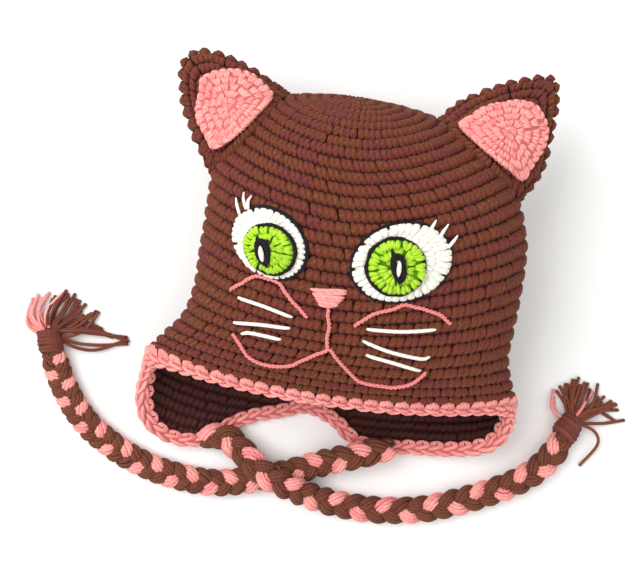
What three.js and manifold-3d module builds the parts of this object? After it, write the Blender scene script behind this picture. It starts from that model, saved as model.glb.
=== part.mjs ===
import * as THREE from 'three';
import { mergeVertices } from 'three/addons/utils/BufferGeometryUtils.js';
import Module from 'manifold-3d';

// A knitted baby hat with cat ears, earflaps and braided ties, lying on its back.
// Millimetres. +Z is the face side, +Y runs from the brim to the crown, Z = 0 is what it lies on.

// Knitted shell
const hatWidth = 164;
const hatDepth = 141;
const hatHeight = 99;
const wallThickness = 4.6;
const brimPlace = -60;

// Clearance that pieces keep to each other
const seamGap = 0.4;
const flapGap = 0.8;
const edgingGap = 1.2;
const patchGap = 0.9;

// Earflaps
const flapLength = 30;

// Pink edging round the brim and the flaps
const edgingWidth = 6.8;
const edgingThickness = 5.8;

// Ears and the pink patches on them
const earHeight = 52;
const earBase = 58;
const earThickness = 8.5;
const innerEarThickness = 2.8;

// Face
const eyeWhiteLength = 43;
const eyeWhiteThickness = 2.4;
const irisLength = 25.5;
const irisThickness = 1.8;
const pupilLength = 15;
const pupilThickness = 1.4;
const glintLength = 7.2;
const glintThickness = 0.9;
const noseWidth = 17;
const noseHeight = 8;
const noseThickness = 2.4;

// Braided ties and their tassels
const braidDiameter = 12;
const braidSides = 10;
const braidSteps = 28;
const tasselHeadLength = 15;
const tasselHeadWidth = 13;
const lockLength = 33;
const lockWidth = 8.5;
const lockHeight = 5;

const brown = '#7a4433';
const darkBrown = '#4c2a22';
const pink = '#ee958c';
const cream = '#fbf8ee';
const green = '#a0dc28';
const black = '#1a171c';

// Cross-sections of the shell from the crown to the brim: x the middle and w the half width as shares
// of hatWidth, y from the brim plane as shares of hatDepth and z as shares of hatHeight.
const shellSections = [
  { x: -0.091, w: 0, yTop: 1.0, ySide: 1.0, yBack: 1.0, zTop: 0.566, zSide: 0.566, zBack: 0.566 },
  { x: -0.088, w: 0.104, yTop: 0.97, ySide: 0.991, yBack: 1.014, zTop: 0.667, zSide: 0.566, zBack: 0.465 },
  { x: -0.079, w: 0.226, yTop: 0.93, ySide: 0.972, yBack: 1.011, zTop: 0.763, zSide: 0.556, zBack: 0.364 },
  { x: -0.064, w: 0.317, yTop: 0.884, ySide: 0.929, yBack: 0.982, zTop: 0.854, zSide: 0.54, zBack: 0.268 },
  { x: -0.046, w: 0.39, yTop: 0.823, ySide: 0.869, yBack: 0.929, zTop: 0.924, zSide: 0.52, zBack: 0.172 },
  { x: -0.024, w: 0.445, yTop: 0.745, ySide: 0.784, yBack: 0.848, zTop: 0.973, zSide: 0.5, zBack: 0.086 },
  { x: -0.015, w: 0.482, yTop: 0.66, ySide: 0.674, yBack: 0.723, zTop: 0.994, zSide: 0.485, zBack: 0.02 },
  { x: -0.003, w: 0.497, yTop: 0.567, ySide: 0.553, yBack: 0.574, zTop: 1.0, zSide: 0.475, zBack: -0.01 },
  { x: -0.003, w: 0.5, yTop: 0.411, ySide: 0.404, yBack: 0.411, zTop: 0.985, zSide: 0.465, zBack: -0.015 },
  { x: -0.006, w: 0.5, yTop: 0.27, ySide: 0.27, yBack: 0.255, zTop: 0.939, zSide: 0.439, zBack: -0.015 },
  { x: -0.018, w: 0.512, yTop: 0.142, ySide: 0.156, yBack: 0.106, zTop: 0.859, zSide: 0.394, zBack: -0.015 },
  { x: -0.034, w: 0.555, yTop: 0.028, ySide: 0.071, yBack: -0.021, zTop: 0.747, zSide: 0.333, zBack: -0.015 },
  { x: -0.043, w: 0.595, yTop: -0.067, ySide: 0.0, yBack: -0.121, zTop: 0.606, zSide: 0.273, zBack: -0.015 },
];

// How square the face half and the back half of a section are, 1 being an ellipse
const faceSquareness = 0.91;
const backSquareness = 0.74;

// Free edges of the flaps. turn is the angle round the brim in degrees, reach and swing are shares of
// flapLength: how far the edge lies beyond the brim, and how far it has swung to +X.
const leftFlapRows = [
  { turn: 178, reach: 0.12, swing: 0.0, lift: -0.03 },
  { turn: 195, reach: 0.62, swing: -0.08, lift: 0.06 },
  { turn: 209, reach: 0.86, swing: -0.2, lift: 0.14 },
  { turn: 222, reach: 0.99, swing: -0.3, lift: 0.1 },
  { turn: 234, reach: 1.02, swing: -0.32, lift: 0.06 },
  { turn: 243, reach: 0.86, swing: -0.3, lift: 0.04 },
  { turn: 250, reach: 0.55, swing: -0.3, lift: 0.02 },
  { turn: 257, reach: 0.27, swing: -0.2, lift: 0.0 },
  { turn: 262, reach: 0.12, swing: 0.0, lift: 0.0 },
];
const rightFlapRows = [
  { turn: 2, reach: 0.12, swing: 0.0, lift: -0.03 },
  { turn: -15, reach: 0.4, swing: 0.0, lift: 0.08 },
  { turn: -29, reach: 0.52, swing: 0.06, lift: 0.16 },
  { turn: -44, reach: 0.54, swing: 0.04, lift: 0.12 },
  { turn: -56, reach: 0.54, swing: -0.08, lift: 0.08 },
  { turn: -65, reach: 0.53, swing: -0.2, lift: 0.06 },
  { turn: -73, reach: 0.56, swing: -0.26, lift: 0.04 },
  { turn: -80.5, reach: 0.48, swing: -0.25, lift: 0.02 },
  { turn: -86, reach: 0.2, swing: -0.08, lift: 0.0 },
];

// Ears. seat is the middle of the base line in shares of hatWidth and hatDepth, heading the way the
// ear points and side which side it is on. rise is the height of its edge and arch the height of its
// middle above that, as shares of hatHeight.
// The outline rows go from the base to the tip: up in shares of the ear's height, crown and side the
// reach towards the crown and towards the side in shares of half the base. The patch outline is
// across and up in the same shares.
const ears = [
  {
    name: 'left', seatX: -0.395, seatY: 0.82, heading: 144.5, side: -1, size: 1.0, rise: 0.5, arch: 0.25,
    outline: [
      { up: -0.2, crown: 0.98, side: 0.98 },
      { up: 0.0, crown: 1.0, side: 0.99 },
      { up: 0.23, crown: 0.95, side: 0.84 },
      { up: 0.43, crown: 0.88, side: 0.69 },
      { up: 0.58, crown: 0.82, side: 0.56 },
      { up: 0.72, crown: 0.73, side: 0.4 },
      { up: 0.86, crown: 0.61, side: 0.19 },
      { up: 0.96, crown: 0.44, side: 0.0 },
    ],
    tip: { up: 1.0, across: -0.22 },
    patch: [
      { across: -0.14, up: 0.69 }, { across: 0.08, up: 0.62 }, { across: 0.39, up: 0.5 },
      { across: 0.52, up: 0.38 }, { across: 0.62, up: 0.15 }, { across: 0.45, up: 0.07 },
      { across: 0.1, up: 0.03 }, { across: -0.33, up: 0.03 }, { across: -0.7, up: 0.07 },
      { across: -0.78, up: 0.2 }, { across: -0.75, up: 0.4 }, { across: -0.51, up: 0.58 },
    ],
  },
  {
    name: 'right', seatX: 0.305, seatY: 0.843, heading: 54.1, side: 1, size: 1.08, rise: 0.52, arch: 0.2,
    outline: [
      { up: -0.2, crown: 0.97, side: 0.98 },
      { up: 0.0, crown: 0.98, side: 1.0 },
      { up: 0.25, crown: 0.93, side: 0.97 },
      { up: 0.42, crown: 0.81, side: 0.85 },
      { up: 0.57, crown: 0.69, side: 0.68 },
      { up: 0.73, crown: 0.52, side: 0.48 },
      { up: 0.85, crown: 0.37, side: 0.33 },
      { up: 0.95, crown: 0.22, side: 0.18 },
    ],
    tip: { up: 1.03, across: -0.02 },
    patch: [
      { across: -0.2, up: 0.61 }, { across: 0.07, up: 0.68 }, { across: 0.39, up: 0.63 },
      { across: 0.58, up: 0.53 }, { across: 0.68, up: 0.37 }, { across: 0.73, up: 0.13 },
      { across: 0.47, up: 0.08 }, { across: 0.13, up: 0.05 }, { across: -0.23, up: 0.04 },
      { across: -0.58, up: 0.06 }, { across: -0.62, up: 0.16 }, { across: -0.56, up: 0.34 },
      { across: -0.38, up: 0.49 },
    ],
  },
];

// Face pieces. x is a share of hatWidth, along a share of hatDepth from the brim plane, turn in degrees.
const eyes = [
  {
    name: 'left',
    white: { x: -0.282, along: 0.44, turn: -33, size: 0.91, slim: 0.77 },
    iris: { x: -0.275, along: 0.421, turn: -33, size: 0.97, slim: 0.85 },
    pupil: { x: -0.297, along: 0.409, turn: 106, size: 0.96, slim: 0.5 },
    glint: { x: -0.299, along: 0.404, turn: 102, size: 1.04, slim: 0.34 },
  },
  {
    name: 'right',
    white: { x: 0.101, along: 0.438, turn: 23, size: 1.12, slim: 0.75 },
    iris: { x: 0.087, along: 0.422, turn: 10, size: 1.04, slim: 0.96 },
    pupil: { x: 0.096, along: 0.426, turn: 100, size: 1.06, slim: 0.51 },
    glint: { x: 0.096, along: 0.42, turn: 98, size: 1.0, slim: 0.32 },
  },
];
const nose = { x: -0.09, along: 0.29, turn: 6, lowerShare: 0.6 };

// Routes of the two ties, from the flap to the tassel
const braidRouteLeft = [
  [-58, -102.8, 7.4], [-52.5, -106.8, 9.9], [-46, -110.5, 14], [-39.5, -115.5, 17.8], [-32, -119.6, 19.2],
  [-22, -123.2, 17.5], [-10, -127.4, 12], [1, -130, 8.2], [14, -131.2, 6.4], [29, -131, 6], [50.5, -127.8, 6],
  [68.5, -121.6, 6], [86, -113.8, 6], [101, -105.5, 6], [112.5, -96, 6], [119.5, -86, 6], [123, -77, 6.2],
];
const braidRouteRight = [
  [30.5, -96, 13.4], [21, -99.2, 13.4], [12, -102.8, 13.2], [4, -106, 11], [-4, -109.5, 7.8],
  [-12.5, -113.5, 6], [-24, -118.5, 6], [-34, -121.3, 6], [-48, -126.2, 6], [-65.5, -129.2, 6], [-88, -127.4, 6], [-107, -122.3, 6],
  [-120, -116.3, 6], [-132.5, -108.5, 6], [-142, -99.5, 6], [-149, -90, 6], [-154.8, -80, 6],
  [-159, -70, 6.2],
];

// Locks of the tassels: heading in degrees from +X, reach in shares of lockLength
const tasselLocksLeft = [
  { heading: 124, reach: 0.78 }, { heading: 109, reach: 0.9 }, { heading: 94, reach: 0.98 },
  { heading: 79, reach: 0.94 }, { heading: 64, reach: 0.92 }, { heading: 49, reach: 0.98 },
  { heading: 33, reach: 1.0 }, { heading: 17, reach: 1.1 },
];
const tasselLocksRight = [
  { heading: 119, reach: 0.72 }, { heading: 104, reach: 0.82 }, { heading: 88, reach: 0.9 },
  { heading: 73, reach: 0.94 }, { heading: 57, reach: 0.98 }, { heading: 41, reach: 1.04 },
  { heading: 26, reach: 1.06 }, { heading: 12, reach: 1.0 },
];

const degree = Math.PI / 180;

// Smooth value of one column of a table, at a share of the way down its rows
function columnAt(rows, column, share) {
  const place = THREE.MathUtils.clamp(share, 0, 1) * (rows.length - 1);
  const row = Math.min(Math.floor(place), rows.length - 2);
  const part = place - row;
  const before = rows[Math.max(row - 1, 0)][column];
  const start = rows[row][column];
  const end = rows[row + 1][column];
  const after = rows[Math.min(row + 2, rows.length - 1)][column];
  const slopeStart = row === 0 ? end - start : (end - before) / 2;
  const slopeEnd = row === rows.length - 2 ? end - start : (after - start) / 2;
  const square = part * part;
  const cube = square * part;
  return (2 * cube - 3 * square + 1) * start + (cube - 2 * square + part) * slopeStart
    + (3 * square - 2 * cube) * end + (cube - square) * slopeEnd;
}

// Outside of the shell: share runs from the crown to the brim, turn goes round in radians,
// 0 at the +X side and a quarter turn at the face.
function shellPoint(share, turn) {
  const at = (column) => columnAt(shellSections, column, share);
  const across = Math.cos(turn);
  const up = Math.sin(turn);
  const square = up > 0 ? faceSquareness : backSquareness;
  const acrossShare = Math.sign(across) * Math.abs(across) ** square;
  const upShare = Math.sign(up) * Math.abs(up) ** square;
  const lean = (at('yTop') - at('yBack')) / 2;
  const sag = (at('yTop') + at('yBack')) / 2 - at('ySide');
  const along = at('ySide') + lean * upShare + sag * upShare * upShare;
  const reach = up > 0 ? at('zTop') - at('zSide') : at('zSide') - at('zBack');
  const height = at('zSide') + reach * upShare;
  return new THREE.Vector3(
    hatWidth * (at('x') + at('w') * acrossShare),
    brimPlace + hatDepth * along,
    Math.max(hatHeight * height, 0),
  );
}

function shellNormal(share, turn) {
  const step = 0.004;
  const near = Math.max(share, 0.02);
  const round = shellPoint(near, turn + step * 4).sub(shellPoint(near, turn - step * 4));
  const down = shellPoint(Math.min(near + step, 1), turn).sub(shellPoint(near - step, turn));
  return round.cross(down).normalize();
}

// Where the face side of the shell is seen from straight above at x, y
function faceAt(x, y) {
  let share = 0.6;
  let turn = Math.PI / 2;
  for (let pass = 0; pass < 30; pass += 1) {
    const here = shellPoint(share, turn);
    const step = 0.001;
    const down = shellPoint(share + step, turn).sub(here).divideScalar(step);
    const round = shellPoint(share, turn + step).sub(here).divideScalar(step);
    const area = down.x * round.y - down.y * round.x;
    const gapX = x - here.x;
    const gapY = y - here.y;
    share = THREE.MathUtils.clamp(share + (gapX * round.y - gapY * round.x) / area, 0.05, 0.99);
    turn = THREE.MathUtils.clamp(turn + (down.x * gapY - down.y * gapX) / area, 0.15, Math.PI - 0.15);
  }
  return { point: shellPoint(share, turn), normal: shellNormal(share, turn) };
}

// Closed body from a list of points and triangles, turned so that its faces point out
function closedGeometry(points, triangles) {
  let volume = 0;
  for (const [a, b, c] of triangles) {
    volume += points[a].dot(points[b].clone().cross(points[c]));
  }
  const index = volume > 0 ? triangles.flat() : triangles.flatMap(([a, b, c]) => [a, c, b]);
  const geometry = new THREE.BufferGeometry();
  geometry.setAttribute('position', new THREE.Float32BufferAttribute(points.flatMap((p) => p.toArray()), 3));
  geometry.setIndex(index);
  geometry.computeVertexNormals();
  return geometry;
}

// Body swept through closed rings of equal count, with a single point at each end
function domedBody(rings, firstPole, lastPole) {
  const count = rings[0].length;
  const points = [...rings.flat(), firstPole, lastPole];
  const first = points.length - 2;
  const last = points.length - 1;
  const triangles = [];
  for (let k = 0; k < count; k += 1) {
    const next = (k + 1) % count;
    triangles.push([first, next, k]);
    triangles.push([last, (rings.length - 1) * count + k, (rings.length - 1) * count + next]);
    for (let ring = 0; ring < rings.length - 1; ring += 1) {
      const low = ring * count;
      const high = low + count;
      triangles.push([low + k, low + next, high + k], [low + next, high + next, high + k]);
    }
  }
  return closedGeometry(points, triangles);
}

// Body of a ring of sections that closes on itself, or of a strip of sections with ends
function sweptBody(sections, closed) {
  const count = sections[0].length;
  const points = sections.flat();
  const triangles = [];
  const spans = closed ? sections.length : sections.length - 1;
  for (let span = 0; span < spans; span += 1) {
    const low = span * count;
    const high = ((span + 1) % sections.length) * count;
    for (let k = 0; k < count; k += 1) {
      const next = (k + 1) % count;
      triangles.push([low + k, low + next, high + k], [low + next, high + next, high + k]);
    }
  }
  if (!closed) {
    const end = (sections.length - 1) * count;
    for (let k = 1; k < count - 1; k += 1) {
      triangles.push([0, k + 1, k], [end, end + k, end + k + 1]);
    }
  }
  return closedGeometry(points, triangles);
}

// Joins and cuts
const wasm = await Module();
wasm.setup();

function toSolid(geometry) {
  const bare = geometry.clone();
  bare.deleteAttribute('normal');
  bare.deleteAttribute('uv');
  const merged = mergeVertices(bare, 1e-4);
  return new wasm.Manifold(new wasm.Mesh({
    numProp: 3,
    vertProperties: new Float32Array(merged.attributes.position.array),
    triVerts: new Uint32Array(merged.index.array),
  }));
}

function toGeometry(solid) {
  const mesh = solid.getMesh();
  const geometry = new THREE.BufferGeometry();
  geometry.setAttribute('position', new THREE.BufferAttribute(new Float32Array(mesh.vertProperties), 3));
  geometry.setIndex(new THREE.BufferAttribute(new Uint32Array(mesh.triVerts), 1));
  geometry.computeVertexNormals();
  return geometry;
}

const hat = new THREE.Group();

function addPiece(name, geometry, color, roughness = 0.95) {
  const material = new THREE.MeshStandardMaterial({ color, roughness, metalness: 0 });
  const mesh = new THREE.Mesh(geometry, material);
  mesh.name = name;
  hat.add(mesh);
}

// Crown and sides: a hollow knitted shell, open at the brim
const shellRows = 20;
const shellColumns = 40;

function shellRing(share, offset) {
  return Array.from({ length: shellColumns }, (_, k) => {
    const turn = (k / shellColumns) * 2 * Math.PI;
    return shellPoint(share, turn).addScaledVector(shellNormal(share, turn), offset);
  });
}

function shellBody() {
  const shares = Array.from({ length: shellRows }, (_, k) => (k + 1) / shellRows);
  const outside = shares.map((share) => shellRing(share, 0));
  const inside = shares.map((share) => shellRing(share, -wallThickness)).reverse();
  const crown = shellPoint(0, 0);
  const inward = shellNormal(0, 0).multiplyScalar(-wallThickness);
  return domedBody([...outside, ...inside], crown, crown.clone().add(inward));
}

// The shell's outside grown by the clearance and closed over the brim, to cut what is sewn onto it
function shellCutter() {
  const shares = Array.from({ length: shellRows }, (_, k) => (k + 1) / shellRows);
  const crown = shellPoint(0, 0).add(shellNormal(0, 0).multiplyScalar(seamGap));
  const mouth = new THREE.Vector3(0, brimPlace, hatHeight * 0.3);
  return toSolid(domedBody(shares.map((share) => shellRing(share, seamGap)), crown, mouth));
}

addPiece('hat_body', shellBody(), brown);
const cutter = shellCutter();

// Earflaps: sheets that go on from the brim in its own slope and end on their free edge
const flapColumns = 16;
const flapRows = 5;

function brimFrame(turn) {
  const point = shellPoint(1, turn);
  const outward = point.clone().sub(shellPoint(0.985, turn)).normalize();
  return { point, outward, normal: shellNormal(1, turn) };
}

function flapPoint(rows, share, part) {
  const { point, outward } = brimFrame(columnAt(rows, 'turn', share) * degree);
  const start = point.addScaledVector(outward, flapGap);
  const edge = start.clone().add(new THREE.Vector3(
    flapLength * columnAt(rows, 'swing', share),
    -flapLength * columnAt(rows, 'reach', share),
    flapLength * columnAt(rows, 'lift', share),
  ));
  const span = edge.clone().sub(start);
  const slope = outward.clone().multiplyScalar(span.length());
  const square = part * part;
  const cube = square * part;
  const place = start.clone().multiplyScalar(2 * cube - 3 * square + 1)
    .addScaledVector(slope, cube - 2 * square + part)
    .addScaledVector(edge, 3 * square - 2 * cube)
    .addScaledVector(span, cube - square);
  place.z = Math.max(place.z, 0);
  return place;
}

// The way the flap's outside faces, which turns out of the shell's facing near the brim
function flapNormal(rows, share, part, hand) {
  const brimNormal = shellNormal(1, columnAt(rows, 'turn', share) * degree);
  if (part === 0) {
    return brimNormal;
  }
  const step = 0.02;
  const low = Math.max(share - step, 0);
  const high = Math.min(share + step, 1);
  const round = flapPoint(rows, high, part).sub(flapPoint(rows, low, part));
  const down = flapPoint(rows, share, part).sub(flapPoint(rows, share, Math.max(part - step, 0)));
  const facing = round.cross(down).normalize().multiplyScalar(hand);
  const away = flapPoint(rows, share, part).distanceTo(flapPoint(rows, share, 0));
  return brimNormal.lerp(facing, Math.min(away / (2 * wallThickness), 1)).normalize();
}

function flapBody(rows, hand) {
  const sections = [];
  for (let column = 0; column <= flapColumns; column += 1) {
    const share = column / flapColumns;
    const outside = [];
    const inside = [];
    for (let row = 0; row <= flapRows; row += 1) {
      const point = flapPoint(rows, share, row / flapRows);
      outside.push(point);
      const normal = flapNormal(rows, share, row / flapRows, hand);
      inside.push(point.clone().addScaledVector(normal, -wallThickness));
    }
    sections.push([...outside, ...inside.reverse()]);
  }
  return sweptBody(sections, false);
}

addPiece('flap_left', flapBody(leftFlapRows, 1), brown);
addPiece('flap_right', flapBody(rightFlapRows, -1), brown);

// Edging: one closed band along the brim and round both flaps
const edgingSteps = 108;

function edgeSamples() {
  const samples = [];
  const middleOf = (point, normal) => point.clone().addScaledVector(normal, -wallThickness / 2);
  const alongBrim = (from, to, count) => {
    for (let k = 0; k < count; k += 1) {
      const frame = brimFrame(THREE.MathUtils.lerp(from, to, k / (count - 1)) * degree);
      samples.push({ place: middleOf(frame.point, frame.normal), normal: frame.normal });
    }
  };
  const alongFlap = (rows, hand, from, to) => {
    const count = 40;
    for (let k = 0; k <= count; k += 1) {
      const share = THREE.MathUtils.lerp(from, to, k / count);
      const normal = flapNormal(rows, share, 1, hand);
      samples.push({ place: middleOf(flapPoint(rows, share, 1), normal), normal });
    }
  };
  alongBrim(8, 172, 80);
  alongFlap(leftFlapRows, 1, 0, 1);
  alongBrim(265, 269, 3);
  alongFlap(rightFlapRows, -1, 1, 0);
  return samples;
}

// Evenly spaced and slightly rounded copy of the samples, with the direction that leads off the fabric
function edgeFrames() {
  const samples = edgeSamples();
  const lengths = [0];
  for (let k = 0; k < samples.length; k += 1) {
    const next = samples[(k + 1) % samples.length];
    lengths.push(lengths[k] + samples[k].place.distanceTo(next.place));
  }
  const total = lengths[samples.length];
  let frames = [];
  let k = 0;
  for (let step = 0; step < edgingSteps; step += 1) {
    const target = (step / edgingSteps) * total;
    while (lengths[k + 1] < target) {
      k += 1;
    }
    const part = (target - lengths[k]) / (lengths[k + 1] - lengths[k]);
    const next = samples[(k + 1) % samples.length];
    frames.push({
      place: samples[k].place.clone().lerp(next.place, part),
      normal: samples[k].normal.clone().lerp(next.normal, part).normalize(),
    });
  }
  const around = (list, index) => list[(index + list.length) % list.length];
  for (let pass = 0; pass < 2; pass += 1) {
    frames = frames.map((frame, index) => ({
      place: frame.place.clone().multiplyScalar(2).add(around(frames, index - 1).place)
        .add(around(frames, index + 1).place).multiplyScalar(0.25),
      normal: frame.normal.clone().add(around(frames, index - 1).normal)
        .add(around(frames, index + 1).normal).normalize(),
    }));
  }
  return frames.map((frame, index) => {
    const heading = around(frames, index + 1).place.clone().sub(around(frames, index - 1).place).normalize();
    const outward = heading.clone().cross(frame.normal).normalize().negate();
    return { ...frame, outward };
  });
}

// Section of the edging in shares of its width and half thickness
const edgingSection = [
  [0.0, 0.75], [0.25, 1.0], [0.7, 1.0], [1.0, 0.55], [1.0, -0.55], [0.7, -1.0], [0.25, -1.0], [0.0, -0.75],
];

function edgingBody() {
  const sections = edgeFrames().map(({ place, normal, outward }) => edgingSection.map(([wide, thick]) => {
    const point = place.clone()
      .addScaledVector(outward, edgingGap + wide * edgingWidth)
      .addScaledVector(normal, (thick * edgingThickness) / 2);
    point.z = Math.max(point.z, 0);
    return point;
  }));
  return sweptBody(sections, true);
}

addPiece('edging', edgingBody(), pink);

// Ears: cupped cushions sewn to the crown's corners
const outlineCount = 30;
const patchCount = 24;

function earOutline(ear) {
  const up = (row) => row.up * earHeight * ear.size;
  const half = (earBase * Math.sqrt(ear.size)) / 2;
  const crownSide = ear.outline.map((row) => new THREE.Vector3(-row.crown * half, up(row), 0));
  const brimSide = ear.outline.map((row) => new THREE.Vector3(row.side * half, up(row), 0)).reverse();
  const tip = new THREE.Vector3(ear.tip.across * half, up(ear.tip), 0);
  const curve = new THREE.CatmullRomCurve3([...crownSide, tip, ...brimSide], true);
  return curve.getSpacedPoints(outlineCount).slice(0, outlineCount);
}

function earPlace(ear, across, up) {
  const half = (earBase * Math.sqrt(ear.size)) / 2;
  const heading = ear.heading * degree;
  const outward = new THREE.Vector2(Math.cos(heading), Math.sin(heading));
  const sideways = new THREE.Vector2(ear.side * outward.y, -ear.side * outward.x);
  const bow = Math.max(1 - (across / half) ** 2, 0) * (1 - 0.85 * Math.max(up / (earHeight * ear.size), 0));
  return new THREE.Vector3(
    hatWidth * ear.seatX + outward.x * up + sideways.x * across,
    brimPlace + hatDepth * ear.seatY + outward.y * up + sideways.y * across,
    hatHeight * (ear.rise + ear.arch * bow),
  );
}

// Half the ear's thickness at a point of its plan, thinning towards the outline
function earPuff(outline, centre, across, up) {
  const angle = Math.atan2(up - centre.y, across - centre.x);
  let reach = 0;
  for (let k = 0; k < outline.length; k += 1) {
    const a = outline[k].clone().sub(centre);
    const b = outline[(k + 1) % outline.length].clone().sub(centre);
    const area = a.x * b.y - a.y * b.x;
    const alongRay = new THREE.Vector2(Math.cos(angle), Math.sin(angle));
    const first = (alongRay.x * b.y - alongRay.y * b.x) / area;
    const second = (a.x * alongRay.y - a.y * alongRay.x) / area;
    if (first >= -1e-9 && second >= -1e-9) {
      reach = 1 / (first + second);
    }
  }
  const share = Math.min(Math.hypot(across - centre.x, up - centre.y) / reach, 1);
  return (earThickness / 2) * Math.sqrt(1 - share ** 4);
}

const earCentre = (ear) => new THREE.Vector3(0, 0.4 * earHeight * ear.size, 0);

function earBody(ear) {
  const outline = earOutline(ear);
  const centre = earCentre(ear);
  const shares = [0.4, 0.75, 0.93];
  const ringAt = (share, side) => outline.map((point) => {
    const flat = centre.clone().lerp(point, share);
    const place = earPlace(ear, flat.x, flat.y);
    place.z += (side * earThickness * Math.sqrt(1 - share ** 4)) / 2;
    return place;
  });
  const rings = [
    ...shares.map((share) => ringAt(share, 1)),
    ringAt(1, 0),
    ...shares.map((share) => ringAt(share, -1)).reverse(),
  ];
  const top = earPlace(ear, centre.x, centre.y);
  const bottom = top.clone();
  top.z += earThickness / 2;
  bottom.z -= earThickness / 2;
  return toGeometry(toSolid(domedBody(rings, top, bottom)).subtract(cutter));
}

// Disc of knitting with its centre and outline on a carrier: lay gives the carrier's surface and normal
function discBody(centre, outline, lay, gap, thickness) {
  const shares = [0.5, 0.93];
  const ringAt = (share, height) => outline.map((point) => {
    const { point: place, normal } = lay(
      THREE.MathUtils.lerp(centre[0], point[0], share),
      THREE.MathUtils.lerp(centre[1], point[1], share),
    );
    return place.addScaledVector(normal, height);
  });
  const low = lay(centre[0], centre[1]);
  const high = low.point.clone().addScaledVector(low.normal, gap + thickness);
  const rings = [
    ...shares.map((share) => ringAt(share, gap + thickness)),
    ringAt(1, gap + thickness * 0.6),
    ringAt(1, gap),
    ...shares.map((share) => ringAt(share, gap)).reverse(),
  ];
  return domedBody(rings, high, low.point.addScaledVector(low.normal, gap));
}

function innerEarBody(ear) {
  const half = (earBase * Math.sqrt(ear.size)) / 2;
  const height = earHeight * ear.size;
  const outline = earOutline(ear);
  const corners = ear.patch.map(({ across, up }) => new THREE.Vector3(across * half, up * height, 0));
  const curve = new THREE.CatmullRomCurve3(corners, true);
  const patchOutline = curve.getSpacedPoints(patchCount).slice(0, patchCount);
  const middle = corners.reduce((sum, corner) => sum.add(corner), new THREE.Vector3())
    .divideScalar(corners.length);
  const straightUp = new THREE.Vector3(0, 0, 1);
  const lay = (across, up) => {
    const place = earPlace(ear, across, up);
    place.z += earPuff(outline, earCentre(ear), across, up);
    return { point: place, normal: straightUp };
  };
  const flat = patchOutline.map((point) => [point.x, point.y]);
  const disc = discBody([middle.x, middle.y], flat, lay, patchGap, innerEarThickness);
  return toGeometry(toSolid(disc).subtract(cutter));
}

for (const ear of ears) {
  addPiece(`ear_${ear.name}`, earBody(ear), brown);
  addPiece(`inner_ear_${ear.name}`, innerEarBody(ear), pink);
}

// Face: knitted discs stacked on the shell, each a clearance above the one below
function ovalOutline(oval, length, count) {
  const cos = Math.cos(oval.turn * degree);
  const sin = Math.sin(oval.turn * degree);
  const half = (length * oval.size) / 2;
  const x = hatWidth * oval.x;
  const y = brimPlace + hatDepth * oval.along;
  return Array.from({ length: count }, (_, k) => {
    const long = half * Math.cos((k / count) * 2 * Math.PI);
    const short = half * oval.slim * Math.sin((k / count) * 2 * Math.PI);
    return [x + long * cos - short * sin, y + long * sin + short * cos];
  });
}

function ovalBody(oval, length, count, gap, thickness) {
  const centre = [hatWidth * oval.x, brimPlace + hatDepth * oval.along];
  return discBody(centre, ovalOutline(oval, length, count), faceAt, gap, thickness);
}

const irisGap = seamGap * 2 + eyeWhiteThickness;
const pupilGap = irisGap + seamGap + irisThickness;
const glintGap = pupilGap + seamGap + pupilThickness;
for (const eye of eyes) {
  const white = ovalBody(eye.white, eyeWhiteLength, 24, seamGap, eyeWhiteThickness);
  addPiece(`eye_white_${eye.name}`, white, cream);
  addPiece(`iris_${eye.name}`, ovalBody(eye.iris, irisLength, 18, irisGap, irisThickness), green);
  addPiece(`pupil_${eye.name}`, ovalBody(eye.pupil, pupilLength, 14, pupilGap, pupilThickness), black);
  addPiece(`glint_${eye.name}`, ovalBody(eye.glint, glintLength, 12, glintGap, glintThickness), cream);
}

function noseBody() {
  const x = hatWidth * nose.x;
  const y = brimPlace + hatDepth * nose.along;
  const cos = Math.cos(nose.turn * degree);
  const sin = Math.sin(nose.turn * degree);
  const lower = nose.lowerShare;
  const corners = [[0.5, 0.5], [-0.5, 0.5], [-0.5 * lower, -0.5], [0.5 * lower, -0.5]];
  const sideSteps = 5;
  const outline = corners.flatMap(([a, b], k) => {
    const [c, d] = corners[(k + 1) % corners.length];
    return Array.from({ length: sideSteps }, (_, step) => {
      const across = noseWidth * THREE.MathUtils.lerp(a, c, step / sideSteps);
      const up = noseHeight * THREE.MathUtils.lerp(b, d, step / sideSteps);
      return [x + across * cos - up * sin, y + across * sin + up * cos];
    });
  });
  return discBody([x, y], outline, faceAt, seamGap, noseThickness);
}

addPiece('nose', noseBody(), pink);

// Braided ties
function braidBody(route) {
  const path = new THREE.CatmullRomCurve3(route.map((point) => new THREE.Vector3(...point)));
  const section = new THREE.Shape(Array.from({ length: braidSides }, (_, k) => {
    const turn = (k / braidSides) * 2 * Math.PI;
    return new THREE.Vector2(Math.cos(turn), Math.sin(turn)).multiplyScalar(braidDiameter / 2);
  }));
  return new THREE.ExtrudeGeometry(section, { steps: braidSteps, bevelEnabled: false, extrudePath: path });
}

addPiece('braid_left', braidBody(braidRouteLeft), brown);
addPiece('braid_right', braidBody(braidRouteRight), brown);

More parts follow.
